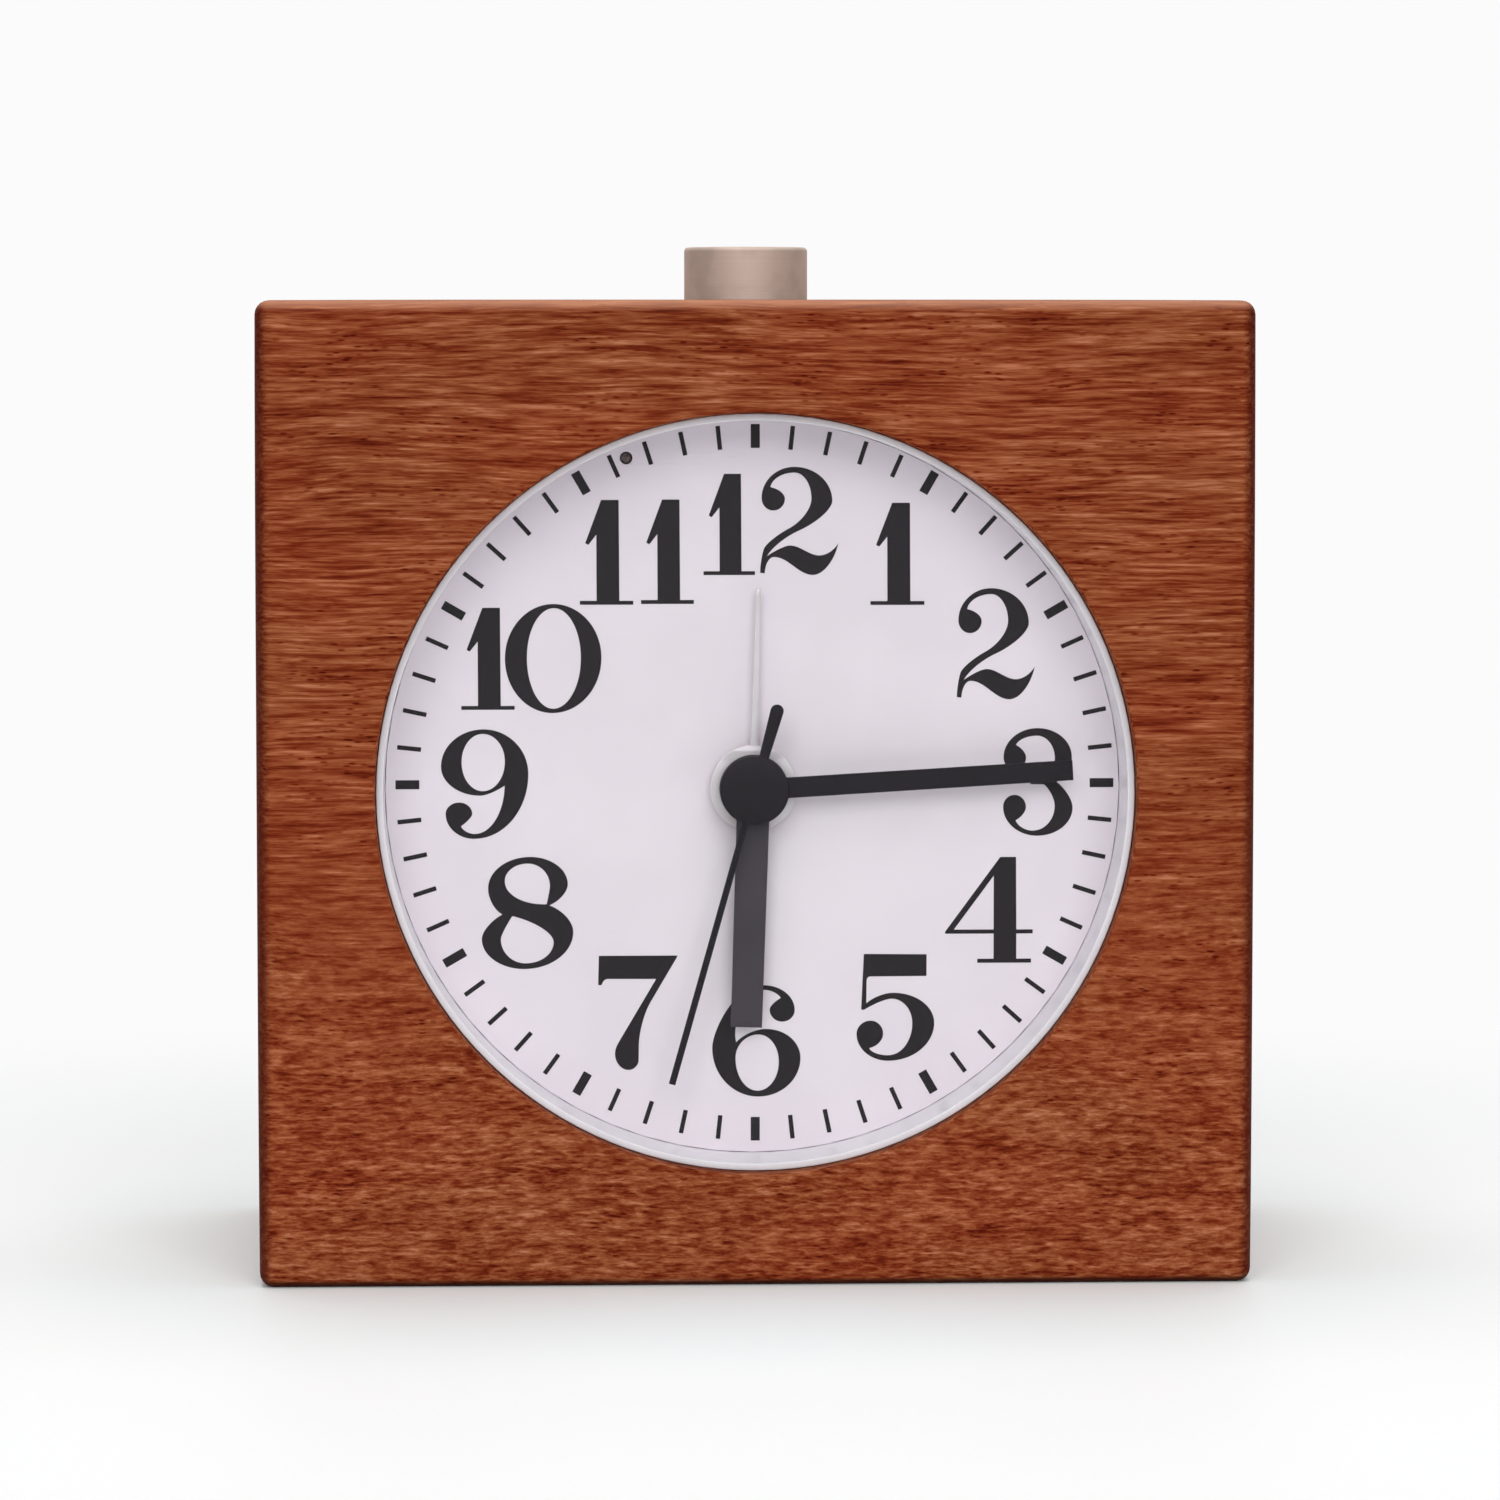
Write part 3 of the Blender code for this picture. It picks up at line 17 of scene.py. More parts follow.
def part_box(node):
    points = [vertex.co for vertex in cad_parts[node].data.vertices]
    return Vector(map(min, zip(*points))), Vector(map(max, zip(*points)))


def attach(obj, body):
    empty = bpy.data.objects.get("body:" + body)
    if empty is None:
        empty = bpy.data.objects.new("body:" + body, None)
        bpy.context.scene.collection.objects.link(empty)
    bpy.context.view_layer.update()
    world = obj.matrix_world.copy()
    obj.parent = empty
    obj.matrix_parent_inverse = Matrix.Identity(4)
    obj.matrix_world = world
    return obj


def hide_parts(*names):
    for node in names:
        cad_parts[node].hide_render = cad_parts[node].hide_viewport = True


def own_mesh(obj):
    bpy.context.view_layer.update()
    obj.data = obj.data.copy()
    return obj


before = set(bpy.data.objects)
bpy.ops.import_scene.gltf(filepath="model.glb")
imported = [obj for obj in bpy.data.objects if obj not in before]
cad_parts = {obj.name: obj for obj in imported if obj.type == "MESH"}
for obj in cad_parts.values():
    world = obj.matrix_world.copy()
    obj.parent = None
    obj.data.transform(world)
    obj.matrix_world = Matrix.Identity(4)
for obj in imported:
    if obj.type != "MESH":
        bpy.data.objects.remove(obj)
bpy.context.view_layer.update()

mm = 0.001
case_low, case_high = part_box("wooden_case")
dial_low, dial_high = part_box("dial")
axis_height = (dial_low.z + dial_high.z) / 2

# %% [markdown]
# ## Where the viewer stands
#
# The photograph was taken from a little above and to the left of the dial, about half a metre away, and the
# clock fills two thirds of the frame. A long lens at that distance gives the same weak perspective. The
# camera is aimed by a direction instead of at a target, because its frame isn't centred on the clock.

# %% The camera
viewer_place = Vector((-21.8, -545, 83)) * mm
turn_right, tilt_down = 0.0407, 0.0702      # radians
lens_length = 145.9                         # millimetres, over a sensor 36 wide

camera_data = bpy.data.cameras.new("viewer")
camera_data.lens = lens_length
camera = bpy.data.objects.new("viewer", camera_data)
bpy.context.scene.collection.objects.link(camera)
level = math.cos(tilt_down)
aim = Vector((math.sin(turn_right) * level, math.cos(turn_right) * level, -math.sin(tilt_down)))
camera.location = viewer_place
camera.rotation_euler = aim.to_track_quat("-Z", "Y").to_euler()
bpy.context.scene.camera = camera
print("the camera stands", round(viewer_place.length, 3), "m from the clock's foot")

# %% [markdown]
# ## Writing a finish as sums
#
# A finish is easier to read as sums than as a drawing of boxes. A Signal wraps one output of a node, and
# adding or multiplying signals makes the Math nodes. A Finish holds the tree: its node method makes any
# other node, and the short methods after it name the few patterns that the clock's finishes share. A
# material that is done is kept under its name, and a piece asks for it by that name.


# %% Signals
class Signal:
    """A value, colour or vector on its way through a finish."""

    def __init__(self, finish, socket):
        self.finish = finish
        self.socket = socket

    def __add__(self, other):
        return self.finish.maths("ADD", self, other)

    def __sub__(self, other):
        return self.finish.maths("SUBTRACT", self, other)

    def __rsub__(self, other):
        return self.finish.maths("SUBTRACT", other, self)

    def __mul__(self, other):
        return self.finish.maths("MULTIPLY", self, other)


# %% Finishes
def tone(code):
    """Colour for a shader from the six figures of a screen colour."""
    parts = [int(code[place:place + 2], 16) / 255 for place in (0, 2, 4)]
    return (*Color(parts).from_srgb_to_scene_linear(), 1)


finishes = {}


class Finish:
    """A material, or the world, in the making: a tree of nodes that ends in one surface."""

    def __init__(self, name, world=None):
        self.name = name
        self.material = world or bpy.data.materials.new(name)
        self.material.use_nodes = True
        self.tree = self.material.node_tree
        self.tree.nodes.clear()

    def node(self, kind, settings=None, inputs=None, output=0):
        """Makes a node: its settings come first, then a value or a link for each input."""
        box = self.tree.nodes.new("ShaderNode" + kind)
        for key, value in (settings or {}).items():
            if key == "stops":
                stops = box.color_ramp.elements
                for place, colour in value[1:-1]:
                    stops.new(place).color = colour
                for stop, (place, colour) in zip((stops[0], stops[-1]), (value[0], value[-1])):
                    stop.position, stop.color = place, colour
            else:
                setattr(box, key, value)
        for key, value in (inputs or {}).items():
            if isinstance(value, Signal):
                self.tree.links.new(value.socket, box.inputs[key])
            else:
                box.inputs[key].default_value = value
        return Signal(self, box.outputs[output]) if box.outputs else None

    def maths(self, operation, first, second):
        """A sum, product or other result of two values."""
        return self.node("Math", {"operation": operation}, {0: first, 1: second})

    def spot(self):
        """Where a point of the surface is, in millimetres."""
        place = self.node("TexCoord", output=3)
        return self.node("VectorMath", {"operation": "SCALE"}, {0: place, "Scale": 1 / mm})

    def stretched(self, spot, size, middle=(0, 0, 0)):
        """The same place measured in a pattern's own size, so that one unit is one feature."""
        shares = tuple(1 / side for side in size)
        moved = self.node("VectorMath", {"operation": "SUBTRACT"}, {0: spot, 1: middle})
        return self.node("Mapping", None, {"Vector": moved, "Scale": shares})

    def cloud(self, spot, size, detail=2.0, roughness=0.5, warp=0.0, middle=(0, 0, 0)):
        """Soft random pattern from 0 to 1, with features of about that size along X, Y and Z."""
        place = self.stretched(spot, size, middle)
        return self.node("TexNoise", None, {"Vector": place, "Scale": 1.0, "Detail": detail,
                                            "Roughness": roughness, "Distortion": warp})

    def band(self, value, low, high, start=0.0, end=1.0):
        """Turns a value from low to high smoothly into one from start to end."""
        return self.node("MapRange", {"interpolation_type": "SMOOTHSTEP"},
                         {"Value": value, "From Min": low, "From Max": high, "To Min": start, "To Max": end})

    def ramp(self, value, stops):
        """Turns a value into a colour: each stop is (value, screen colour)."""
        return self.node("ValToRGB", {"stops": [(place, tone(code)) for place, code in stops]}, {0: value})

    def blend(self, below, above, share, way="MIX"):
        """Lays one colour over another."""
        return self.node("Mix", {"data_type": "RGBA", "blend_type": way}, {0: share, 6: below, 7: above}, 2)

    def dents(self, height, depth):
        """Small relief: depth is how far a height of one stands up, in millimetres."""
        return self.node("Bump", None, {"Height": height, "Distance": depth * mm, "Strength": 1.0})

    def surface(self, values):
        """A Principled shader with the values and links for its sockets."""
        return self.node("BsdfPrincipled", None, values)

    def straight_view(self):
        """One for rays from the camera and for those that metal and glass send on."""
        rays = [self.node("LightPath", output=f"Is {kind} Ray") for kind in ("Camera", "Glossy", "Transmission")]
        return self.maths("MAXIMUM", self.maths("MAXIMUM", rays[0], rays[1]), rays[2])

    def done(self, shader):
        """Ends the tree and keeps the material under its name."""
        self.node("OutputMaterial", None, {"Surface": shader})
        finishes[self.name] = self.material


# %% [markdown]
# ## Stained wood
#
# The block is a red-brown stained hardwood with its grain lying across the clock. Up close the photograph
# shows broad streaks, a fine fibre, pale hairlines and short dark pores, which all run with the grain. They
# change how light the wood is, and its hue stays nearly the same. So each layer is a soft noise or a cell
# pattern stretched along X, the layers are added to one value, and one colour ramp turns that value into
# stain. The sides of the block show end grain by themselves. A painted highlight makes the top's edges paler,
# painted shade and a little extra stain darken the upright corners, and a painted shadow darkens the foot.


# %% The wood
block_side, block_face, block_top = (reach / mm for reach in case_high)
grain_wave = 1.8


def stained_wood():
    """Red-brown stain on open-pored wood with a dull finish."""
    wood = Finish("stained_wood")
    flat_spot = wood.spot()
    sides = wood.node("VectorMath", {"operation": "ABSOLUTE"}, {0: flat_spot})
    width = wood.node("SeparateXYZ", None, {0: sides}, 0)
    depth = wood.node("SeparateXYZ", None, {0: sides}, 1)
    height = wood.node("SeparateXYZ", None, {0: flat_spot}, 2)
    drift = wood.cloud(flat_spot, (26, 12, 12)) * grain_wave
    lifted = wood.node("CombineXYZ", None, {"Y": drift, "Z": drift})
    spot = wood.node("VectorMath", {"operation": "ADD"}, {0: flat_spot, 1: lifted})

    # Long fibres above, and short ones low down, where the saw ran out of the grain.
    patches = wood.cloud(spot, (26, 12, 12))
    streaks = wood.cloud(spot, (15, 1.2, 1.2), 3.0, 0.6, 0.2)
    long_fibres = wood.cloud(spot, (5.2, 0.31, 0.31), 3.0, 0.66, 0.1)
    short_fibres = wood.cloud(spot, (1.6, 0.36, 0.36), 3.0, 0.66, 0.3)
    low = wood.band(height + patches * 24, 66, 24)
    fibres = long_fibres * (1 - low) + short_fibres * low
    glints = wood.cloud(spot, (3.4, 0.27, 0.27), 2.0, 0.6, middle=(40, 40, 40))
    cells = wood.node("TexVoronoi", {"feature": "F1"},
                      {"Vector": wood.stretched(spot, (1.4, 0.36, 0.36)), "Scale": 1.0, "Randomness": 1.0})
    crowd = wood.cloud(spot, (9, 2.5, 2.5), middle=(5, 3, 8))
    pores = wood.band(cells, 0.10, 0.34, 1.0, 0.0) * wood.band(crowd, 0.38, 0.68)

    # One value for how light the wood is, then its stain, the painted highlight on the top's edges, the painted
    # shade and stain of the corners, and the painted shadow at the foot.
    light = fibres + (streaks - 0.5) * 0.42 + wood.band(glints, 0.54, 0.72) * 0.08 - pores * 0.20 + 0.01
    colour = wood.ramp(light, [(0.27, "4B0D00"), (0.40, "6B260C"), (0.49, "7D3A1E"), (0.60, "90502F"),
                               (0.76, "B07153")])
    colour = wood.blend(colour, tone("FFF0EC"), wood.band(patches, 0.40, 0.62) * 0.8, "MULTIPLY")
    # Painted highlight: the top's front edges are made paler where their round would catch the light from above.
    painted_top_highlight = (wood.band(height, block_top - 1.1, block_top - 0.2)
              * wood.band(depth, block_face - 1.7, block_face - 0.8))
    colour = wood.blend(colour, tone("DCA283"), painted_top_highlight * 0.45)
    # Painted shade with a little extra stain: the rounds of the upright corners are made darker, as if they faced
    # dark sides.
    corner = (wood.band(width, block_side - 1.4, block_side - 0.4)
              * wood.band(depth, block_face - 2.6, block_face - 1.4))
    colour = wood.blend(colour, tone("400E05"), corner * (1 - painted_top_highlight) * 0.8)
    # Painted shadow along the foot: the lowest three quarters of a millimetre turn near black, where the bottom
    # round is in shade.
    colour = wood.blend(colour, tone("2A0A03"), wood.band(height, 0.75, 0.30) * 0.85)

    relief = wood.dents(fibres * 0.4 - pores, 0.03)
    dull = wood.band(fibres, 0.3, 0.7, 0.66, 0.54) + pores * 0.2
    wood.done(wood.surface({"Base Color": colour, "Roughness": dull, "Specular IOR Level": 0.05,
                            "Normal": relief}))


stained_wood()
print("wood finish:", len(finishes["stained_wood"].node_tree.nodes), "nodes")

# %% [markdown]
# ## Plastic, card, paint and metal
#
# The other finishes come in families. Moulded plastic has a soft grain and slightly uneven gloss. Paint and
# print on card are flatter. Metal is brushed or turned, and its gloss changes along the brushing. So each
# family is one function, and the pieces differ by colour, gloss and the size of the grain.


# %% Moulded plastic, paint and card
def moulded(name, code, gloss, grain, depth, shade_code=None, values=None):
    """Plastic, paint or card: a base colour with a faint cloud in it and a fine grain."""
    plastic = Finish(name)
    spot = plastic.spot()
    haze = plastic.cloud(spot, (9, 9, 9))
    speck = plastic.cloud(spot, (grain, grain, grain))
    base = tone(code)
    darker = tone(shade_code) if shade_code else tuple(part * 0.9 for part in base[:3]) + (1,)
    share = plastic.band(haze, 0.35, 0.65) * 0.5 + plastic.band(speck, 0.4, 0.8) * 0.3
    rough = plastic.band(haze + speck, 0.7, 1.3, gloss - 0.05, gloss + 0.06)
    sockets = {"Base Color": plastic.blend(base, darker, share), "Roughness": rough,
               "Normal": plastic.dents(speck, depth)}
    plastic.done(plastic.surface({**sockets, **(values or {})}))


# %% Metal
def metal(name, code, gloss, brush=(0.05, 0.05, 3.0), tarnish_code=None):
    """Bright metal with fine marks; brush is the size of one mark along X, Y and Z."""
    plate = Finish(name)
    spot = plate.spot()
    marks = plate.cloud(spot, brush, 2.0, 0.6)
    haze = plate.cloud(spot, (4, 4, 4))
    base = tone(code)
    darker = tone(tarnish_code) if tarnish_code else tuple(part * 0.72 for part in base[:3]) + (1,)
    colour = plate.blend(base, darker, plate.band(haze, 0.45, 0.75) * 0.6 + plate.band(marks, 0.5, 0.8) * 0.3)
    shader = plate.surface({"Base Color": colour, "Metallic": 1.0,
                            "Roughness": plate.band(marks + haze, 0.7, 1.3, gloss - 0.06, gloss + 0.08),
                            "Normal": plate.dents(marks, 0.002)})
    plate.done(shader)


# %% The clear disc
clear_index = 1.22      # a coated sheet, which mirrors less than bare plastic


def clear_sheet():
    """Clear plastic: it lets light through and mirrors a little, more at a flat angle."""
    sheet = Finish("clear_sheet")
    dust = sheet.cloud(sheet.spot(), (6, 6, 6), 3.0)
    mirror = sheet.surface({"Base Color": tone("FFFFFF"), "Metallic": 1.0,
                            "Roughness": sheet.band(dust, 0.4, 0.8, 0.02, 0.07)})
    through = sheet.node("BsdfTransparent", None, {"Color": tone("FBFCFC")})
    leaving = sheet.node("NewGeometry", output=6)
    share = sheet.node("Fresnel", None, {"IOR": clear_index}) * (1 - leaving)
    sheet.done(sheet.node("MixShader", None, {0: share, 1: through, 2: mirror}))


clear_sheet()
moulded("white_plastic", "F4EFF5", 0.36, 0.20, 0.004)
moulded("dial_card", "EBE0E8", 0.55, 0.12, 0.003, "E4D9E1")
mirroring = "Specular IOR Level"
moulded("dial_ink", "120B10", 0.55, 0.10, 0.002, "1B1319", {mirroring: 0.2})
moulded("black_paint", "1A141B", 0.50, 0.09, 0.002, "140F15", {mirroring: 0.12})
moulded("hour_hand_paint", "3C353D", 0.50, 0.09, 0.002, "342E35", {mirroring: 0.25})
moulded("silver_paint", "DCD7DC", 0.36, 0.08, 0.002, "C2B2B4", {"Metallic": 0.25})
moulded("black_plastic", "1D1D1F", 0.45, 0.14, 0.006)
metal("spring_steel", "B6B8BC", 0.26)
metal("plated_steel", "C4C4C4", 0.26)

# %% [markdown]
# ## Making and finishing a piece
#
# Round pieces are turned: a profile is spun once about an axis. Holes are cut with turned or extruded
# cutters, as a drill or a router would. A piece that is made is then given its finish, its sharp edges are
# marked so that the rest shades smoothly, and it rides on the CAD body that it belongs to.

# %% Turning, cutting and fitting
weld = 0.001 * mm
fine_steps = 128
sharp_angle = math.radians(32)


def turned(bm, profile, steps=fine_steps, axis=(0, 1, 0), place=(0, 0, 0)):
    """Spins a profile of (radius, height) points about an axis through a place."""
    axis, place = Vector(axis), Vector(place)
    across = Vector((0, 0, 1) if axis.x else (1, 0, 0))
    verts = [bm.verts.new(place + across * radius + axis * height) for radius, height in profile]
    edges = [bm.edges.new(pair) for pair in zip(verts, verts[1:])]
    if profile[0][0] > 0:
        edges.append(bm.edges.new((verts[-1], verts[0])))
    spun = bmesh.ops.spin(bm, geom=verts + edges, cent=place, axis=axis, angle=2 * math.pi, steps=steps,
                          use_merge=True)
    return spun["geom_last"]


def sharp_edges(bm, angle=sharp_angle):
    """Edges where two faces meet at more than an angle."""
    return [edge for edge in bm.edges if len(edge.link_faces) == 2 and edge.calc_face_angle() > angle]


def ease(bm, edges, radius, segments=3):
    """Rounds edges."""
    bmesh.ops.bevel(bm, geom=edges, offset=radius, offset_type="OFFSET", affect="EDGES", segments=segments,
                    profile=0.5, material=-1, clamp_overlap=True)


def drilled(bm, radius, front, back, steps=32, axis=(0, 1, 0), place=(0, 0, 0)):
    """Adds a plain round cutter from front to back."""
    turned(bm, [(0, front), (radius, front), (radius, back), (0, back)], steps, axis, place)


def eased_turning(profile, radius, segments, steps=fine_steps, axis=(0, 1, 0), place=(0, 0, 0)):
    """A turned piece whose sharp edges are all rounded."""
    bm = bmesh.new()
    turned(bm, profile, steps, axis, place)
    bmesh.ops.remove_doubles(bm, verts=bm.verts, dist=weld)
    bmesh.ops.recalc_face_normals(bm, faces=bm.faces)
    ease(bm, sharp_edges(bm), radius, segments)
    return bm


def middle_on_face(name):
    """Middle of a CAD node as seen from the front, at depth nought."""
    low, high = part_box(name)
    return Vector((low.x + high.x, 0, low.z + high.z)) / 2


def made(name, bm):
    """Closes a bmesh into an object of that name."""
    bmesh.ops.remove_doubles(bm, verts=bm.verts, dist=weld)
    bmesh.ops.recalc_face_normals(bm, faces=bm.faces)
    mesh = bpy.data.meshes.new(name)
    bm.to_mesh(mesh)
    bm.free()
    piece = bpy.data.objects.new(name, mesh)
    bpy.context.scene.collection.objects.link(piece)
    return piece


def carve(piece, bm, way="DIFFERENCE"):
    """Cuts a cutter out of a piece, or joins it on, and removes the cutter."""
    cutter = made("cutter", bm)
    modifier = piece.modifiers.new("carve", "BOOLEAN")
    modifier.operation = way
    modifier.solver = "EXACT"
    modifier.object = cutter
    evaluated = piece.evaluated_get(bpy.context.evaluated_depsgraph_get())
    piece.data = bpy.data.meshes.new_from_object(evaluated)
    piece.modifiers.clear()
    bpy.data.objects.remove(cutter)


def fitted(piece, slot, body="case", stands_for=(), flat_faces=True, finish=None):
    """Gives a piece its finish, by its slot's name or another, and its place among the CAD bodies."""
    piece.data.materials.clear()
    piece.data.materials.append(finishes[finish or slot])
    piece.data.shade_smooth()
    piece.data.set_sharp_from_angle(angle=sharp_angle)
    if flat_faces:
        piece.modifiers.new("flat faces", "WEIGHTED_NORMAL").keep_sharp = True
    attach(piece, body)
    if stands_for:
        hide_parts(*stands_for)
    print(piece.name, "rides on", body, "with", len(piece.data.polygons), "faces")
    return piece


# %% [markdown]
# ## The wooden block
#
# On the real clock the block is sawn square, sanded by hand and bored from both sides. Sanding leaves the
# faces very slightly crowned and every edge round, so a cube is divided, its faces are pulled in by an eighth
# of a millimetre towards the corners, and its twelve edges are rounded. The bores are cut afterwards with
# turned cutters whose mouths flare, which leaves the small round that a sander gives to the rim of a hole.

# %% The block before boring
crown = 0.12 * mm
edge_round = 1.2 * mm
block_cuts = 9

bm = bmesh.new()
bmesh.ops.create_cube(bm, size=1)
bmesh.ops.subdivide_edges(bm, edges=bm.edges, cuts=block_cuts, use_grid_fill=True)
block_edges = sharp_edges(bm)
for vert in bm.verts:
    across, back, up = (abs(2 * part) ** 4 for part in vert.co)
    fall = Vector(((back + up) / 2, (across + up) / 2, (across + back) / 2 if vert.co.z > 0 else 0))
    half = (case_high - case_low) / 2
    vert.co = [share * 2 * (side - crown * drop) for share, side, drop in zip(vert.co, half, fall)]
bmesh.ops.translate(bm, verts=bm.verts, vec=(case_high + case_low) / 2)
ease(bm, block_edges, edge_round, 5)
block = made("wood_block", bm)
print("the faces are crowned by", crown / mm, "mm and the edges are round to", edge_round / mm, "mm")

# %% [markdown]
# A flared cutter is a turned profile whose end follows a quarter circle outwards and then runs on at that
# slope past the face. The same profile serves the bore, the recess and the small holes of the rear cover.


# %% Flared cutters
def mouth(radius, face, way, flare):
    """Profile of a hole's eased mouth: from the hole's wall to past the face that it opens in."""
    points = []
    for step in range(6):
        turn = math.radians(14 * step)
        points.append((radius + flare * (1 - math.cos(turn)), face - way * flare * (1 - math.sin(turn))))
    run = 0.6 * mm
    last_radius, last_height = points[-1]
    points.append((last_radius + run * math.sin(turn), last_height + way * run * math.cos(turn)))
    return points


rim_flare = 0.35 * mm
canister_low, canister_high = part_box("dial_canister")
lens_low, lens_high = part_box("clear_lens")
button_low, button_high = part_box("snooze_button")
fit_gap = 0.3 * mm
canister_radius = (lens_high.x - lens_low.x) / 2
flange_radius = (canister_high.x - canister_low.x) / 2
bore_radius = canister_radius + fit_gap
recess_radius = flange_radius + fit_gap
flange_back = canister_high.y
flange_front = flange_back - 1.5 * mm
shoulder = flange_front - fit_gap
dial_centre = (0, 0, axis_height)

# %% Boring the block
bore = bmesh.new()
front_mouth = mouth(bore_radius, case_low.y, -1, rim_flare)
rear_mouth = mouth(recess_radius, case_high.y, 1, rim_flare)
turned(bore, [(0, front_mouth[-1][1])] + front_mouth[::-1] + [(bore_radius, shoulder), (recess_radius, shoulder)]
       + rear_mouth + [(0, rear_mouth[-1][1])], place=dial_centre)
carve(block, bore)

button_radius = 5.5 * mm
button_flange_radius = (button_high.x - button_low.x) / 2
flange_bottom, flange_top = 77.7 * mm, 79.0 * mm      # the button's flange, hidden in the block
hole_radius = button_radius + fit_gap
pocket_radius = button_flange_radius + fit_gap
hole_mouth = mouth(hole_radius, case_high.z, 1, 0.25 * mm)
passage = bmesh.new()
turned(passage, [(0, hole_mouth[-1][1])] + hole_mouth[::-1]
       + [(hole_radius, flange_top + fit_gap), (pocket_radius, flange_top + fit_gap),
          (pocket_radius, axis_height), (0, axis_height)], steps=72, axis=(0, 0, 1))
carve(block, passage)

cover_screws = [f"cover_screw_{number}" for number in range(1, 5)]
screw_hole = 1.1 * mm
pilots = bmesh.new()
for name in cover_screws:
    drilled(pilots, screw_hole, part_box(name)[0].y - fit_gap, shoulder + mm, 16, place=middle_on_face(name))
carve(block, pilots)
fitted(block, "stained_wood", stands_for=["wooden_case"])

# %% [markdown]
# ## The canister, the clear disc and the dial
#
# The white canister is one thin-walled moulding: a skirt round the dial, a floor behind it, a tube that
# holds the movement and a flange for the screws at the rear. It is turned in one go, with its edges eased
# before the drills go through. The clear disc is turned too, so that its polished edge catches the light.

# %% The canister
skirt_inner = (dial_high.x - dial_low.x) / 2 + fit_gap
tube_inner = canister_radius - 1.2 * mm
rim_front = canister_low.y
floor_front = dial_high.y + fit_gap
floor_back = floor_front + 1.5 * mm
centre_hole = 2.7 * mm
lip_radius = canister_radius + 0.24 * mm
lip_depth = 2.0 * mm
stem_hole = 2.0 * mm
canister_edge, disc_edge = 0.15 * mm, 0.12 * mm

canister = made("white_canister", eased_turning(
    [(centre_hole, floor_front), (skirt_inner, floor_front), (skirt_inner, rim_front), (lip_radius, rim_front),
     (lip_radius, rim_front + lip_depth), (canister_radius, rim_front + lip_depth * 1.2),
     (canister_radius, flange_front), (flange_radius, flange_front), (flange_radius, flange_back),
     (tube_inner, flange_back), (tube_inner, floor_back), (centre_hole, floor_back)],
    canister_edge, 2, place=dial_centre))

light_low, light_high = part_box("night_light_led")
light_place = middle_on_face("night_light_led")
light_radius = (light_high.x - light_low.x) / 2
holes = bmesh.new()
drilled(holes, light_radius + fit_gap, floor_front - mm, light_high.y + fit_gap, place=light_place)
for name in cover_screws:
    drilled(holes, screw_hole, flange_front - mm, flange_back + mm, 16, place=middle_on_face(name))
drilled(holes, stem_hole, axis_height + tube_inner - mm, axis_height + canister_radius + mm, axis=(0, 0, 1))
carve(canister, holes)
fitted(canister, "white_plastic", stands_for=["dial_canister"])

# %% The clear disc
disc = eased_turning([(0, lens_low.y), (lip_radius, lens_low.y), (lip_radius, lens_high.y), (0, lens_high.y)],
                     disc_edge, 2, place=dial_centre)
fitted(made("clear_disc", disc), "clear_sheet", stands_for=["clear_lens"])

# %% [markdown]
# ## Flat pieces drawn as outlines
#
# The dial, its numerals and the hands are flat sheets cut or printed to an outline. An outline is a list of
# knots. A plain knot is a corner, (x, y). A smooth knot adds the direction in which the line runs through
# it, in degrees, and a corner between two bends has one direction for arriving and one for leaving. The
# pull of the curve at each end then follows from where the two directions cross, by the share that makes a
# quarter circle round, so a numeral needs only a knot at each extreme, as a type designer would place them.

# %% Outlines
quarter_round = 0.5523


def heading(degrees):
    """Unit vector in a direction."""
    return Vector((math.cos(math.radians(degrees)), math.sin(math.radians(degrees))))


def pulls(start, leave, end, arrive):
    """How far the two handles between two knots reach: a third of the way where no crossing tells it."""
    chord = end - start
    turn = leave.cross(arrive) if leave and arrive else 0
    if abs(turn) > 0.05:
        first, second = chord.cross(arrive) / turn, leave.cross(chord) / turn
        if min(first, second) > 0 and max(first, second) <= 2 * chord.length:
            return first * quarter_round, second * quarter_round
    return chord.length / 3, chord.length / 3


def add_outline(curve, knots, scale=(1, 1), shift=(0, 0)):
    """Draws one closed outline on a flat curve."""
    places = [Vector(knot[:2]) for knot in knots]
    arrive = [heading(knot[2]) if len(knot) > 2 and knot[2] is not None else None for knot in knots]
    leave = [heading(knot[-1]) if len(knot) > 2 and knot[-1] is not None else None for knot in knots]
    spline = curve.splines.new("BEZIER")
    spline.use_cyclic_u = True
    spline.bezier_points.add(len(knots) - 1)
    for index, point in enumerate(spline.bezier_points):
        after = (index + 1) % len(knots)
        start, end = places[index], places[after]
        first, second = pulls(start, leave[index], end, arrive[after])
        straight = (end - start).normalized()
        handles = (start + (leave[index] or straight) * first, end - (arrive[after] or straight) * second)
        point.co = (start.x * scale[0] + shift[0], start.y * scale[1] + shift[1], 0)
        point.handle_left_type = point.handle_right_type = "FREE"
        for vector, knot, side in ((handles[0], point, "handle_right"),
                                   (handles[1], spline.bezier_points[after], "handle_left")):
            setattr(knot, side, (vector.x * scale[0] + shift[0], vector.y * scale[1] + shift[1], 0))


def ring(radius, centre=(0, 0)):
    """Outline of a circle."""
    x, y = centre
    return [(x + radius, y, 90), (x, y + radius, 180), (x - radius, y, 270), (x, y - radius, 0)]


def sheet_curve(thickness, edge):
    """Flat curve that will become a sheet with eased edges."""
    curve = bpy.data.curves.new("outline", "CURVE")
    curve.dimensions = "2D"
    curve.fill_mode = "BOTH"
    curve.resolution_u = 16
    curve.extrude = thickness / 2 - edge
    curve.bevel_depth = edge
    curve.bevel_resolution = 1
    curve.offset = -edge
    return curve


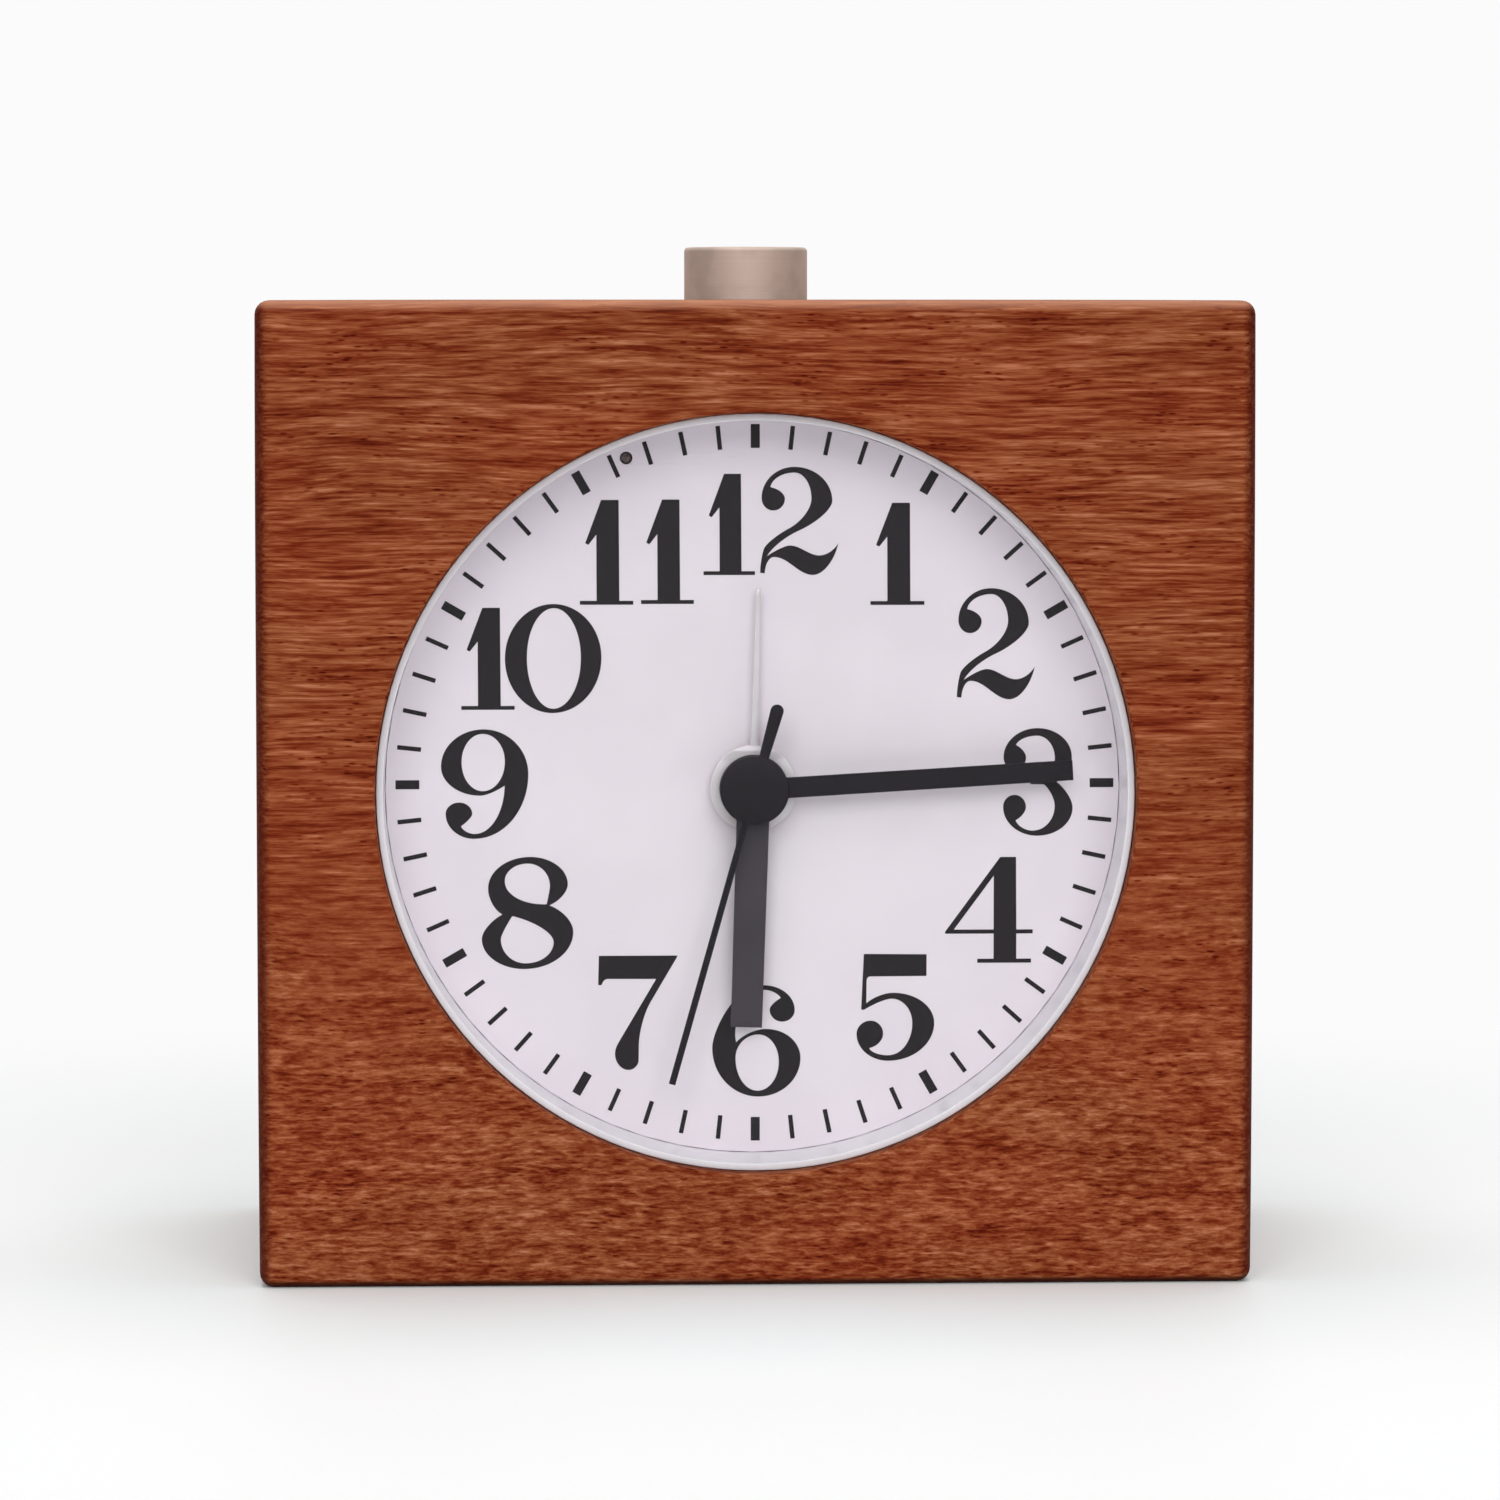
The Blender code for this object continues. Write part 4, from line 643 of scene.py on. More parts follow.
def mesh_of(curve):
    """The mesh that a curve makes."""
    drawn = bpy.data.objects.new("drawn", curve)
    bpy.context.scene.collection.objects.link(drawn)
    bm = bmesh.new()
    bm.from_mesh(bpy.data.meshes.new_from_object(drawn.evaluated_get(bpy.context.evaluated_depsgraph_get())))
    bpy.data.objects.remove(drawn)
    return bm


def sheet(name, curve, front, thickness, turn=0):
    """Makes the sheet a mesh, stands it up with its front at a depth and turns it clockwise from twelve."""
    bm = mesh_of(curve)
    stand = Matrix.Translation((0, front + thickness / 2, axis_height)) @ Matrix.Rotation(turn, 4, "Y")
    bmesh.ops.transform(bm, matrix=stand @ Matrix.Rotation(math.pi / 2, 4, "X"), verts=bm.verts)
    return made(name, bm)


# %% The dial
dial_radius = skirt_inner - 0.03 * mm
light_middle = (light_place.x, light_place.z - axis_height)
light_hole = 0.55 * mm
dial_thickness = dial_high.y - dial_low.y
curve = sheet_curve(dial_thickness, 0.04 * mm)
add_outline(curve, ring(dial_radius))
add_outline(curve, ring(centre_hole))
add_outline(curve, ring(light_hole, light_middle))
dial = sheet("dial_sheet", curve, dial_low.y, dial_thickness)
fitted(dial, "dial_card", stands_for=["dial"])

# %% [markdown]
# ## The numerals and the minute track
#
# The dial carries upright numerals with strong contrast between thick stems and hairlines, and a ring of
# sixty ticks, every fifth one bold. Blender's own font has no such letters, so each figure is drawn once,
# about a hundred units high, and placed by the lower left corner and the size of its box on the dial, in
# millimetres from the axis. The ink stands a fiftieth of a millimetre proud of the card.

# %% Figures one to four
figures = {}
figures["1"] = [[(0, 0), (53, 0), (53, 3.8), (39.2, 3.8), (38.6, 102.3), (21.2, 102.3), (5.4, 60.2), (8.4, 58.4),
                 (16.4, 68.4), (16.6, 3.8), (0, 3.8)]]
figures["2"] = [[(13.1, 64.8, 180), (1.4, 77.5, 90), (34.4, 108.6, 0), (72.7, 74.6, 270), (38.7, 44.5, 204),
                 (7.0, 19.1, 242, 35), (30.1, 29.7, 0), (59.8, 19.6, 0), (78.9, 32.1, 62, 258), (53.1, 0, 180),
                 (13.9, 18.2, 180), (4.6, 1.8, 268, None), (0, 2.3, None, 90), (3.6, 26.0, 72), (29.2, 46.9, 28),
                 (51.7, 76.6, 90), (34.4, 102.9, 180), (10.3, 88.2, 262, 350), (24.9, 76.6, 270)]]
figures["3"] = [[(34.6, 107.9, 0), (69.2, 79.0, 270), (54.0, 54.0, 220, 322), (70.2, 28.2, 270), (34.6, 0, 180),
                 (0, 29.0, 90), (11.5, 41.0, 0), (23.0, 29.0, 270), (12.6, 15.6, 205, 290), (29.8, 5.1, 0),
                 (52.1, 29.8, 90), (41.0, 51.6, 140, None), (27.4, 51.7), (27.4, 55.3), (41.0, 55.6, None, 42),
                 (52.1, 77.6, 90), (33.8, 100.4, 180), (12.8, 91.0, 250, 335), (23.0, 78.6, 270),
                 (11.5, 66.6, 180), (0.3, 78.8, 90)]]
figures["4"] = [[(0, 29.2), (48.8, 29.2), (48.8, 4.0), (32.4, 4.0), (32.4, 0), (86.6, 0), (86.6, 4.0), (71.7, 4.0),
                 (71.7, 29.2), (88.2, 29.2), (88.2, 33.2), (71.7, 33.2), (71.2, 105.6), (55.3, 105.6), (0, 31.2)],
                [(48.8, 33.2), (8.7, 33.2), (48.8, 87.0)]]

# %% Figures five to seven
figures["5"] = [[(7.2, 107.4), (70.3, 106.8), (70.2, 85.1), (13.6, 84.8, None, 182), (10.0, 80.4, 270, None),
                 (9.7, 57.8, None, 42), (36.7, 68.3, 0), (78.1, 38.0, 270), (31.9, 0, 180), (0, 26.9, 90),
                 (14.0, 40.4, 0), (26.7, 27.3, 270), (12.8, 12.9, 190, 285), (31.9, 5.5, 0), (56.0, 37.6, 90),
                 (35.1, 62.4, 180), (7.3, 51.2, 212, None), (4.6, 51.6)]]
figures["6"] = [[(51.6, 112.1, 0), (82.6, 87.2, 270), (70.0, 75.5, 180), (57.5, 87.6, 90), (68.6, 99.2, 28, 118),
                 (51.6, 107.5, 180), (23.0, 62.0, 270), (23.9, 54.8, 275, 50), (53.9, 68.2, 0), (88.4, 39.0, 270),
                 (46.3, 0.2, 180), (0, 49.0, 90), (20.3, 95.0, 50)],
                [(23.3, 39.0, 270), (45.5, 6.1, 0), (66.7, 35.2, 90), (46.3, 62.7, 180)]]
figures["7"] = [[(0.8, 114.3), (79.4, 114.3), (78.9, 112.8), (52.4, 68.0, None, 239.5), (40.6, 24.9, 269, None),
                 (40.4, 9.1, None, 262), (30.4, 0, 180), (16.7, 16.6, 90), (19.9, 26.8, 59, None), (58.0, 91.0),
                 (9.6, 91.2, None, 182), (3.6, 85.0, 262, None), (0, 85.0)]]

# %% Figures eight, nine and nought
figures["8"] = [[(48.6, 112.6, 0), (86.1, 85.1, 270), (67.6, 63.9, 203, 340), (91.5, 37.2, 270), (42.3, 0, 180),
                 (0, 30.1, 90), (20.6, 54.9, 28, 152), (6.4, 81.1, 90)],
                [(23.1, 88.3, 270), (64.8, 65.0, 2, 76), (68.2, 83.5, 90), (45.9, 106.0, 180)],
                [(19.0, 30.1, 270), (43.9, 5.7, 0), (71.8, 26.9, 90), (30.7, 53.3, 166, 236)]]
figures["9"] = [[(42.4, 109.8, 0), (87.1, 65.1, 270), (32.9, 0, 180), (4.5, 25.1, 90), (18.0, 36.5, 0),
                 (31.0, 25.1, 270), (19.8, 12.7, 215, 290), (33.7, 4.9, 0), (63.4, 53.3, 89, 214),
                 (39.2, 43.3, 180), (0, 72.5, 90)],
                [(20.5, 76.9, 270), (41.6, 47.8, 0), (63.7, 77.6, 90), (41.6, 105.3, 180)]]
figures["0"] = [[(48.5, 109.3, 0), (96.6, 55.5, 270), (47.5, 0, 180), (0, 54.5, 90)],
                [(22.0, 55.5, 270), (48.2, 4.3, 0), (76.0, 55.5, 90), (49.0, 105.2, 180)]]
print("drew", len(figures), "figures")

# %% Printing the numerals
figure_boxes = [
    ("1", -4.51, 18.24, 4.48, 8.81), ("2", 0.43, 18.23, 6.82, 9.42), ("1", 10.06, 15.61, 4.71, 8.90),
    ("2", 17.63, 7.33, 6.82, 9.72), ("3", 21.71, -4.64, 6.10, 9.44), ("4", 16.65, -15.80, 7.69, 9.30),
    ("5", 8.89, -24.40, 6.82, 9.42), ("6", -3.77, -27.52, 7.74, 9.82), ("7", -13.75, -25.10, 6.95, 10.05),
    ("8", -23.90, -16.18, 7.99, 9.83), ("9", -27.41, -4.75, 7.61, 9.57), ("1", -25.62, 6.53, 4.64, 8.89),
    ("0", -21.82, 6.23, 8.41, 9.51), ("1", -15.28, 15.67, 4.65, 9.12), ("1", -9.96, 15.73, 4.61, 9.09),
]
ink_proud = 0.02 * mm
ink_film = 0.04 * mm
print_middle = (0.20 * mm, 0.32 * mm)
curve = sheet_curve(ink_film, 0)
for figure, left, base, width, height in figure_boxes:
    knots = [knot for loop in figures[figure] for knot in loop]
    drawn_width = max(knot[0] for knot in knots)
    drawn_height = max(knot[1] for knot in knots)
    for loop in figures[figure]:
        add_outline(curve, loop, (width * mm / drawn_width, height * mm / drawn_height),
                    (left * mm + print_middle[0], base * mm + print_middle[1]))
numerals = sheet("dial_numerals", curve, dial_low.y - ink_proud, ink_film)
fitted(numerals, "black_paint", finish="dial_ink")

# %% Printing the minute track
tick_circle = 30.34 * mm
tick_length = 2.08 * mm
bold, fine = 0.79 * mm, 0.39 * mm
track_middle = (print_middle[0], dial_low.y - ink_proud + ink_film / 2, axis_height + print_middle[1])
ticks = bmesh.new()
for minute in range(60):
    width = fine if minute % 5 else bold
    place = Matrix.Translation(track_middle) @ Matrix.Rotation(math.radians(6 * minute), 4, "Y")
    place = place @ Matrix.Translation((0, 0, tick_circle)) @ Matrix.Diagonal((width, ink_film, tick_length, 1))
    bmesh.ops.create_cube(ticks, size=1, matrix=place)
fitted(made("minute_track", ticks), "black_paint", finish="dial_ink")

# %% [markdown]
# ## The hands
#
# The hands are stamped from thin sheet and pressed on tubes that turn one inside the other. Each is a
# straight bar that narrows a little, on a round hub. The hour and minute hands and the second hand are
# painted near black, and the alarm hand, which lies against the dial, is silver. They are drawn pointing to
# twelve and turned to the time that the photograph shows.


# %% Outline of a hand
def hand_outline(hub, root, tip, length, tail):
    """A bar on a round hub; a tail is (width at the hub, width at the end, length)."""
    root_turn = math.degrees(math.asin(root / 2 / hub))
    root_height = hub * math.cos(math.radians(root_turn))
    right = [(tip / 2, length), (root / 2, root_height, None, -root_turn), (hub, 0, 270)]
    left = [(-hub, 0, 90), (-root / 2, root_height, root_turn, None), (-tip / 2, length)]
    if not tail:
        return right + [(0, -hub, 180)] + left
    tail_root, tail_end, tail_length = tail
    tail_turn = math.degrees(math.asin(tail_root / 2 / hub))
    foot = hub * math.cos(math.radians(tail_turn))
    round_start = tail_end / 2 - tail_length
    return right + [(tail_root / 2, -foot, 180 + tail_turn, None), (tail_end / 2, round_start, None, 270),
                    (0, -tail_length, 180), (-tail_end / 2, round_start, 90, None),
                    (-tail_root / 2, -foot, None, 180 - tail_turn)] + left


# %% The four hands
hub = 3.0
hand_edge = 0.06 * mm
hand_table = [      # hub, root, tip, length, tail and bore in millimetres, then the turn in degrees
    ("alarm", (3.8, 0.70, 0.40, 17.4, None), 2.5, 1.4, "silver_paint", "silver_paint"),
    ("hour", (hub, 2.85, 2.72, 20.85, None), 1.85, 181.8, "black_paint", "hour_hand_paint"),
    ("minute", (hub, 1.80, 1.76, 27.8, None), 1.2, 86.6, "black_paint", "black_paint"),
    ("second", (hub, 0.56, 0.58, 26.6, (0.85, 1.15, 7.75)), None, 195.7, "black_paint", "black_paint"),
]
bodies = {"second": "seconds_group"}
for kind, shape, bore, turn, slot, finish in hand_table:
    low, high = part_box(kind + "_hand")
    curve = sheet_curve(high.y - low.y, hand_edge)
    add_outline(curve, hand_outline(*shape), (mm, mm))
    if bore:
        add_outline(curve, ring(bore * mm))
    piece = sheet(f"stamped_{kind}_hand", curve, low.y, high.y - low.y, math.radians(turn))
    fitted(piece, slot, bodies.get(kind, kind + "_group"), [kind + "_hand"], finish=finish)

# %% The cap in the second hand's hub
hand_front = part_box("second_hand")[0].y
cap_front = min(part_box("seconds_wheel")[0].y, hand_front) - 0.15 * mm
cap_radius = hub * mm
bm = bmesh.new()
turned(bm, [(0, cap_front), (cap_radius * 0.55, cap_front + 0.02 * mm),
            (cap_radius * 0.88, cap_front + 0.08 * mm), (cap_radius * 0.97, hand_front), (0, hand_front)],
       steps=72, place=dial_centre)
fitted(made("second_hand_cap", bm), "black_paint", "seconds_group")

# %% [markdown]
# ## The snooze button
#
# The button is a turned metal cap, anodised in a pale champagne colour. It slides in the hole in the top,
# and a flange below stops it. A coil spring inside pushes it up. The cap is turned, its edges are eased, and
# the finish carries the fine rings that the tool leaves round the axis.

# %% Champagne metal
def champagne():
    """Anodised metal with fine turning marks round the button's axis."""
    cap = Finish("champagne_metal")
    spot = cap.spot()
    rings = cap.cloud(spot, (60, 60, 0.05))
    haze = cap.cloud(spot, (3, 3, 3))
    colour = cap.blend(tone("BEADA3"), tone("AC9D92"), cap.band(haze, 0.4, 0.7) * 0.6)
    rough = cap.band(rings, 0.3, 0.7, 0.64, 0.74)
    cap.done(cap.surface({"Base Color": colour, "Metallic": 1.0, "Roughness": rough,
                          "Normal": cap.dents(rings, 0.002)}))


champagne()

# %% The cap
top = button_high.z
cap_wall = 0.9 * mm
inner_top = top - 1.0 * mm
stem_radius = 1.5 * mm
cap_edge = 0.35 * mm
cap = eased_turning(
    [(0, top), (button_radius, top), (button_radius, flange_top), (button_flange_radius, flange_top),
     (button_flange_radius, flange_bottom), (button_radius - cap_wall, flange_bottom),
     (button_radius - cap_wall, inner_top), (stem_radius, inner_top), (stem_radius, button_low.z),
     (0, button_low.z)], cap_edge, 4, 96, axis=(0, 0, 1))
fitted(made("button_cap", cap), "champagne_metal", "button", ["snooze_button"])

# %% The spring under the cap
def helix(wire, start, centre, axis, rise, turns, steps, sides):
    """A round wire wound as a screw: rise is the way that it climbs in one turn."""
    bm = bmesh.new()
    stand = Matrix.Translation(start) @ Matrix.Rotation(math.pi / 2, 4, "X")
    bmesh.ops.create_circle(bm, cap_ends=True, radius=wire, segments=sides, matrix=stand)
    bmesh.ops.spin(bm, geom=bm.verts[:] + bm.edges[:] + bm.faces[:], cent=centre, axis=axis,
                   dvec=Vector(rise) / steps, angle=2 * math.pi * turns, steps=turns * steps)
    return bm


spring_low, spring_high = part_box("button_spring")
wire = 0.3 * mm
spring_turns = 6
coil_radius = (spring_high.x - spring_low.x) / 2 - wire
rise = (spring_high.z - spring_low.z - 2 * wire) / spring_turns
coil = helix(wire, (coil_radius, 0, spring_low.z + wire), (0, 0, 0), (0, 0, 1), (0, 0, rise),
             spring_turns, 36, 12)
spring = fitted(made("button_coil", coil), "spring_steel", stands_for=["button_spring"],
                flat_faces=False)
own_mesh(spring)

# %% [markdown]
# ## The rear
#
# The rear carries what sets and feeds the clock: a white cover held by four screws, a battery door with
# grip ribs, two fluted knobs, the alarm's slide switch and the sound holes. Small mouldings like these have
# eased edges all round, so every cutter flares a little where it opens.

# %% Places on the rear
cover_low, cover_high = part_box("rear_cover")
door_low, door_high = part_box("battery_door")
slider_low, slider_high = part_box("alarm_switch_slider")
cover_back = cover_high.y
cover_front = cover_back - 2.0 * mm
cover_edge = 0.4 * mm
door_middle = (door_low + door_high) / 2
door_corner = 1.5 * mm


def slab(bm, low, high, corner=0.0, edge=0.0):
    """Box between two corners, with round upright corners along Y and eased edges."""
    verts = bmesh.ops.create_cube(bm, size=1, matrix=Matrix.Translation((Vector(low) + Vector(high)) / 2)
                                  @ Matrix.Diagonal((*(Vector(high) - Vector(low)), 1)))["verts"]
    edges = {side for vert in verts for side in vert.link_edges}
    if corner:
        along = [side for side in edges if abs((side.verts[0].co - side.verts[1].co).normalized().y) > 0.9]
        ease(bm, along, corner, 6)
        bm.edges.ensure_lookup_table()
    if edge:
        ease(bm, sharp_edges(bm, math.radians(60)), edge, 3)


def carve_slab(piece, low, high, corner=0.0, edge=0.0, way="DIFFERENCE"):
    """Cuts one box out of a piece, or joins it on."""
    bm = bmesh.new()
    slab(bm, low, high, corner, edge)
    carve(piece, bm, way)


# %% The cover
plate = [(0, cover_front), (flange_radius, cover_front), (flange_radius, cover_back), (0, cover_back)]
cover = made("rear_cover_plate", eased_turning(plate, cover_edge, 4, place=dial_centre))

trough_half = Vector((28.25, 0, 8.45)) * mm
trough_wall = Vector((0.8, 0.8, 0.8)) * mm
trough_low = Vector((-trough_half.x, cover_low.y, door_middle.z - trough_half.z))
trough_high = Vector((trough_half.x, cover_front + 0.5 * mm, door_middle.z + trough_half.z))
carve_slab(cover, trough_low, trough_high, way="UNION")
carve_slab(cover, trough_low + trough_wall,
           (trough_high.x - trough_wall.x, cover_back - mm, trough_high.z - trough_wall.z))
room = Vector((fit_gap, fit_gap, fit_gap))
carve_slab(cover, door_low - room, (door_high.x + fit_gap, cover_back + mm, door_high.z + fit_gap),
           door_corner + fit_gap)

# %% Holes in the cover
sound_middle = middle_on_face("buzzer")
sound_ring = 3.4 * mm
sound_hole = 0.8 * mm
hole_places = [(sound_middle, sound_hole)]
for step in range(6):
    turn = math.radians(60 * step)
    hole_places.append((sound_middle + Vector((math.cos(turn), 0, math.sin(turn))) * sound_ring, sound_hole))
hole_places += [(middle_on_face(name), 1.5 * mm) for name in ("time_set_shaft", "alarm_set_shaft")]
hole_places += [(middle_on_face(name), screw_hole) for name in cover_screws]
drills = bmesh.new()
for place, radius in hole_places:
    rim = mouth(radius, cover_back, 1, 0.2 * mm)
    turned(drills, [(0, cover_front - mm), (radius, cover_front - mm)] + rim + [(0, rim[-1][1])], steps=32,
           place=place)
slot_half = Vector((3.0, 0, 1.2)) * mm
slot_height = (slider_low.z + slider_high.z) / 2
slab(drills, (-slot_half.x, cover_front - mm, slot_height - slot_half.z),
     (slot_half.x, cover_back + mm, slot_height + slot_half.z))
carve(cover, drills)
fitted(cover, "white_plastic", stands_for=["rear_cover"])

# %% The battery door
rib_height = 0.35 * mm
rib_half = Vector((0.35, 0, 5)) * mm
first_rib, rib_pitch = -22 * mm, 1.6 * mm
bm = bmesh.new()
slab(bm, door_low, door_high, door_corner, 0.25 * mm)
door = made("battery_door_panel", bm)
ribs = bmesh.new()
for step in range(5):
    foot = Vector((first_rib + rib_pitch * step, door_high.y, door_middle.z))
    slab(ribs, foot - rib_half - Vector((0, 0.3 * mm, 0)), foot + rib_half + Vector((0, rib_height, 0)),
         0, 0.2 * mm)
carve(door, ribs, "UNION")
fitted(door, "white_plastic", "door", ["battery_door"])

# %% [markdown]
# ## The setting knobs
#
# Each knob is a small moulding with a fluted grip, a soft edge and a shallow dish. It is built as a stack of
# rings that are bridged one to the next. The flutes are a wave added to the radius, and the wave dies away
# over the edge, so that the dish is round. A socket from below takes the shaft.

# %% The knobs
flutes = 24
shaft_socket = 1.3 * mm
knob_rings = [(-0.55, 0.15, 0.0), (-0.25, 0.25, 0.3), (-0.25, 0.25, 3.6), (-0.36, 0.22, 4.0),
              (-0.60, 0.12, 4.3), (-0.95, 0.03, 4.52), (-1.30, 0.0, 4.6), (-1.70, 0.0, 4.56),
              (-2.0, 0.0, 4.4), (-4.6, 0.0, 4.2)]       # millimetres: past the CAD's radius, wave, height


def fluted_ring(bm, radius, wave, height):
    """Circle whose radius waves once for each flute."""
    loop = bmesh.ops.create_circle(bm, cap_ends=False, radius=radius, segments=8 * flutes)["verts"]
    for vert in loop:
        turn = math.atan2(vert.co.y, vert.co.x)
        vert.co = vert.co.normalized() * (radius + wave * math.cos(flutes * turn))
        vert.co.z = height
    return {edge for vert in loop for edge in vert.link_edges}


for name, body in (("time_set_knob", "time_knob_group"), ("alarm_set_knob", "alarm_knob_group")):
    low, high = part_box(name)
    middle = middle_on_face(name)
    radius = (high.x - low.x) / 2
    bm = bmesh.new()
    loops = [fluted_ring(bm, radius + out * mm, wave * mm, height * mm) for out, wave, height in knob_rings]
    for lower, upper in zip(loops, loops[1:]):
        bmesh.ops.bridge_loops(bm, edges=list(lower | upper))
    bmesh.ops.holes_fill(bm, edges=list(loops[0] | loops[-1]), sides=0)
    stand = Matrix.Translation(middle + Vector((0, low.y, 0))) @ Matrix.Rotation(-math.pi / 2, 4, "X")
    bmesh.ops.transform(bm, matrix=stand, verts=bm.verts)
    knob = made(name + "_grip", bm)
    socket = bmesh.new()
    drilled(socket, shaft_socket, low.y - mm, high.y - 0.7 * mm, 40, place=middle)
    carve(knob, socket)
    fitted(knob, "black_plastic", body, [name])

# %% The cover screws
shank, tip_radius, cross_half = 0.8 * mm, 0.35 * mm, 0.2 * mm
for name in cover_screws:
    low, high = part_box(name)
    head = (high.x - low.x) / 2
    head_front = high.y - 1.0 * mm
    place = middle_on_face(name)
    bm = bmesh.new()
    turned(bm, [(0, low.y), (tip_radius, low.y), (shank, low.y + 1.2 * mm), (shank, head_front),
                (head, head_front), (head, high.y - 0.45 * mm), (head * 0.86, high.y - 0.16 * mm),
                (head * 0.55, high.y - 0.03 * mm), (0, high.y)], steps=40, place=place)
    screw = made(name + "_pan", bm)
    reach = head * 0.58
    for half_x, half_z in ((reach, cross_half), (cross_half, reach)):
        carve_slab(screw, place + Vector((-half_x, high.y - 0.6 * mm, -half_z)),
                   place + Vector((half_x, high.y + mm, half_z)))
    fitted(screw, "plated_steel", stands_for=[name])

# %% The slide switch
slider_middle = (slider_low + slider_high) / 2
bm = bmesh.new()
slab(bm, slider_low, (slider_high.x, slider_low.y + 0.8 * mm, slider_high.z), 0, 0.08 * mm)
slider = made("switch_slide", bm)
tab_half = Vector((1.2, 0, 0.9)) * mm
carve_slab(slider, (slider_middle.x - tab_half.x, slider_low.y + 0.4 * mm, slider_middle.z - tab_half.z),
           (slider_middle.x + tab_half.x, slider_high.y, slider_middle.z + tab_half.z), 0, 0.15 * mm, "UNION")
groove_half = Vector((0.12, 0, 2)) * mm
groove_depth, groove_pitch = 0.25 * mm, 0.6 * mm
for step in (-1, 0, 1):
    foot = Vector((slider_middle.x + groove_pitch * step, slider_high.y, slider_middle.z))
    carve_slab(slider, foot - groove_half - Vector((0, groove_depth, 0)),
               foot + groove_half + Vector((0, mm, 0)))
fitted(slider, "black_plastic", "slider", ["alarm_switch_slider"])

# %% [markdown]
# ## The works inside
#
# The movement, its wheels and the electronics sit between the dial and the rear cover. Most of their CAD
# shapes are already right, so they keep them and get a finish of their own: light grey plates, pale gears,
# brass, green boards and plated steel.

# %% Finishes of the works
metal("copper_wire", "B8683C", 0.32, (0.09, 0.5, 0.5), "8A4526")
moulded("grey_plastic", "A3A8AA", 0.36, 0.22, 0.004)
moulded("amber_resin", "3B2A22", 0.16, 0.3, 0.001, "4A2A18", {"Coat Weight": 0.6})
moulded("gear_plastic", "DCD3BC", 0.42, 0.12, 0.003)
metal("brass", "C9A35A", 0.28, (0.4, 0.04, 0.4))
metal("magnet_grey", "6E6E72", 0.40)
moulded("board_green", "2C6A45", 0.40, 0.5, 0.008, "1F5236")
works = {
    "grey_plastic": ["movement_front_shell", "movement_back_shell", "train_bridge"],
    "gear_plastic": [kind + "_wheel" for kind in ("seconds", "third", "centre", "fifth", "minute_works", "hour",
                                                  "alarm")],
    "brass": ["cannon_pinion", "alarm_contact"],
    "magnet_grey": ["rotor"],
    "plated_steel": ["stator", "quartz_crystal", "alarm_switch_body", "positive_contact"]
    + [f"movement_screw_{number}" for number in range(1, 5)],
    "board_green": ["circuit_board", "snooze_board"],
    "black_plastic": ["clock_chip", "snooze_switch", "buzzer", "time_set_shaft", "alarm_set_shaft"],
}
for finish, names in works.items():
    for name in names:
        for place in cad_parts[name].material_slots:
            place.material = finishes[finish]
print("finished", sum(len(names) for names in works.values()), "pieces of the works")

# %% [markdown]
# ## The cell and the small light
#
# A cell is a steel can with a printed film shrunk round it, so it is two turned pieces: the can with its nub,
# and the sleeve, which folds a little over both ends. The night light is a small resin body with a dome that
# just reaches through the dial.

# %% The battery cell
def in_mm(*points):
    """A profile whose radii and heights are given in millimetres."""
    return [(radius * mm, height * mm) for radius, height in points]


cell_low, cell_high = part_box("battery_cell")
cell_middle = (cell_low + cell_high) / 2
can_profile = in_mm((0, -25.05), (6.90, -25.05), (7.10, -24.85), (7.10, 23.90), (6.70, 24.13),
                    (3.10, 24.13), (2.75, 24.35), (2.75, 25.05), (2.50, 25.25), (0, 25.25))
sleeve_profile = in_mm((6.40, -25.15), (7.05, -25.20), (7.25, -24.95), (7.25, 24.00), (7.05, 24.22),
                       (6.00, 24.23), (6.00, 24.14), (6.72, 24.14), (7.12, 23.91), (7.12, -24.87),
                       (6.90, -25.07), (6.40, -25.07))
moulded("cell_sleeve", "2F4C80", 0.28, 0.4, 0.002, "27406E", {"Coat Weight": 0.5})
for name, profile, slot in (("cell_can", can_profile, "plated_steel"),
                            ("cell_sleeve", sleeve_profile, "cell_sleeve")):
    bm = bmesh.new()
    turned(bm, profile, 64, (1, 0, 0), cell_middle)
    fitted(made(name, bm), slot, stands_for=["battery_cell"])

# %% The night light
dome = in_mm((0, 0), (0.22, 0.05), (0.38, 0.18), (0.46, 0.40), (0.46, 0.78), (0.72, 0.90),
             (light_radius / mm, 1.10))
depth = light_high.y - light_low.y
bm = bmesh.new()
turned(bm, dome + [(light_radius, depth), (0, depth)], 40, place=light_place + Vector((0, light_low.y, 0)))
fitted(made("night_light_body", bm), "amber_resin", stands_for=["night_light_led"])

# %% [markdown]
# ## What is wound from wire
#
# The leads and the spring of the cell are wire. A curve with a round bevel is the quickest wire: each knot's
# handles lie along the line between its neighbours, so that the wire bends smoothly through every knot. The
# motor's coil is a bobbin with one helix wound on it, and the helix is a small ring spun as a screw.

# %% Wire along a route
def wire_along(name, points, radius, rounds):
    """Makes a round wire that runs smoothly through points."""
    curve = bpy.data.curves.new(name, "CURVE")
    curve.dimensions = "3D"
    curve.bevel_depth = radius
    curve.bevel_resolution = 3
    curve.use_fill_caps = True
    curve.resolution_u = rounds
    spline = curve.splines.new("BEZIER")
    spline.bezier_points.add(len(points) - 1)
    ends = [points[0]] + points + [points[-1]]
    for knot, before, here, after in zip(spline.bezier_points, ends, points, ends[2:]):
        pull = (after - before) / 6
        knot.handle_left_type = knot.handle_right_type = "FREE"
        knot.co, knot.handle_left, knot.handle_right = here, here - pull, here + pull
    return made(name, mesh_of(curve))


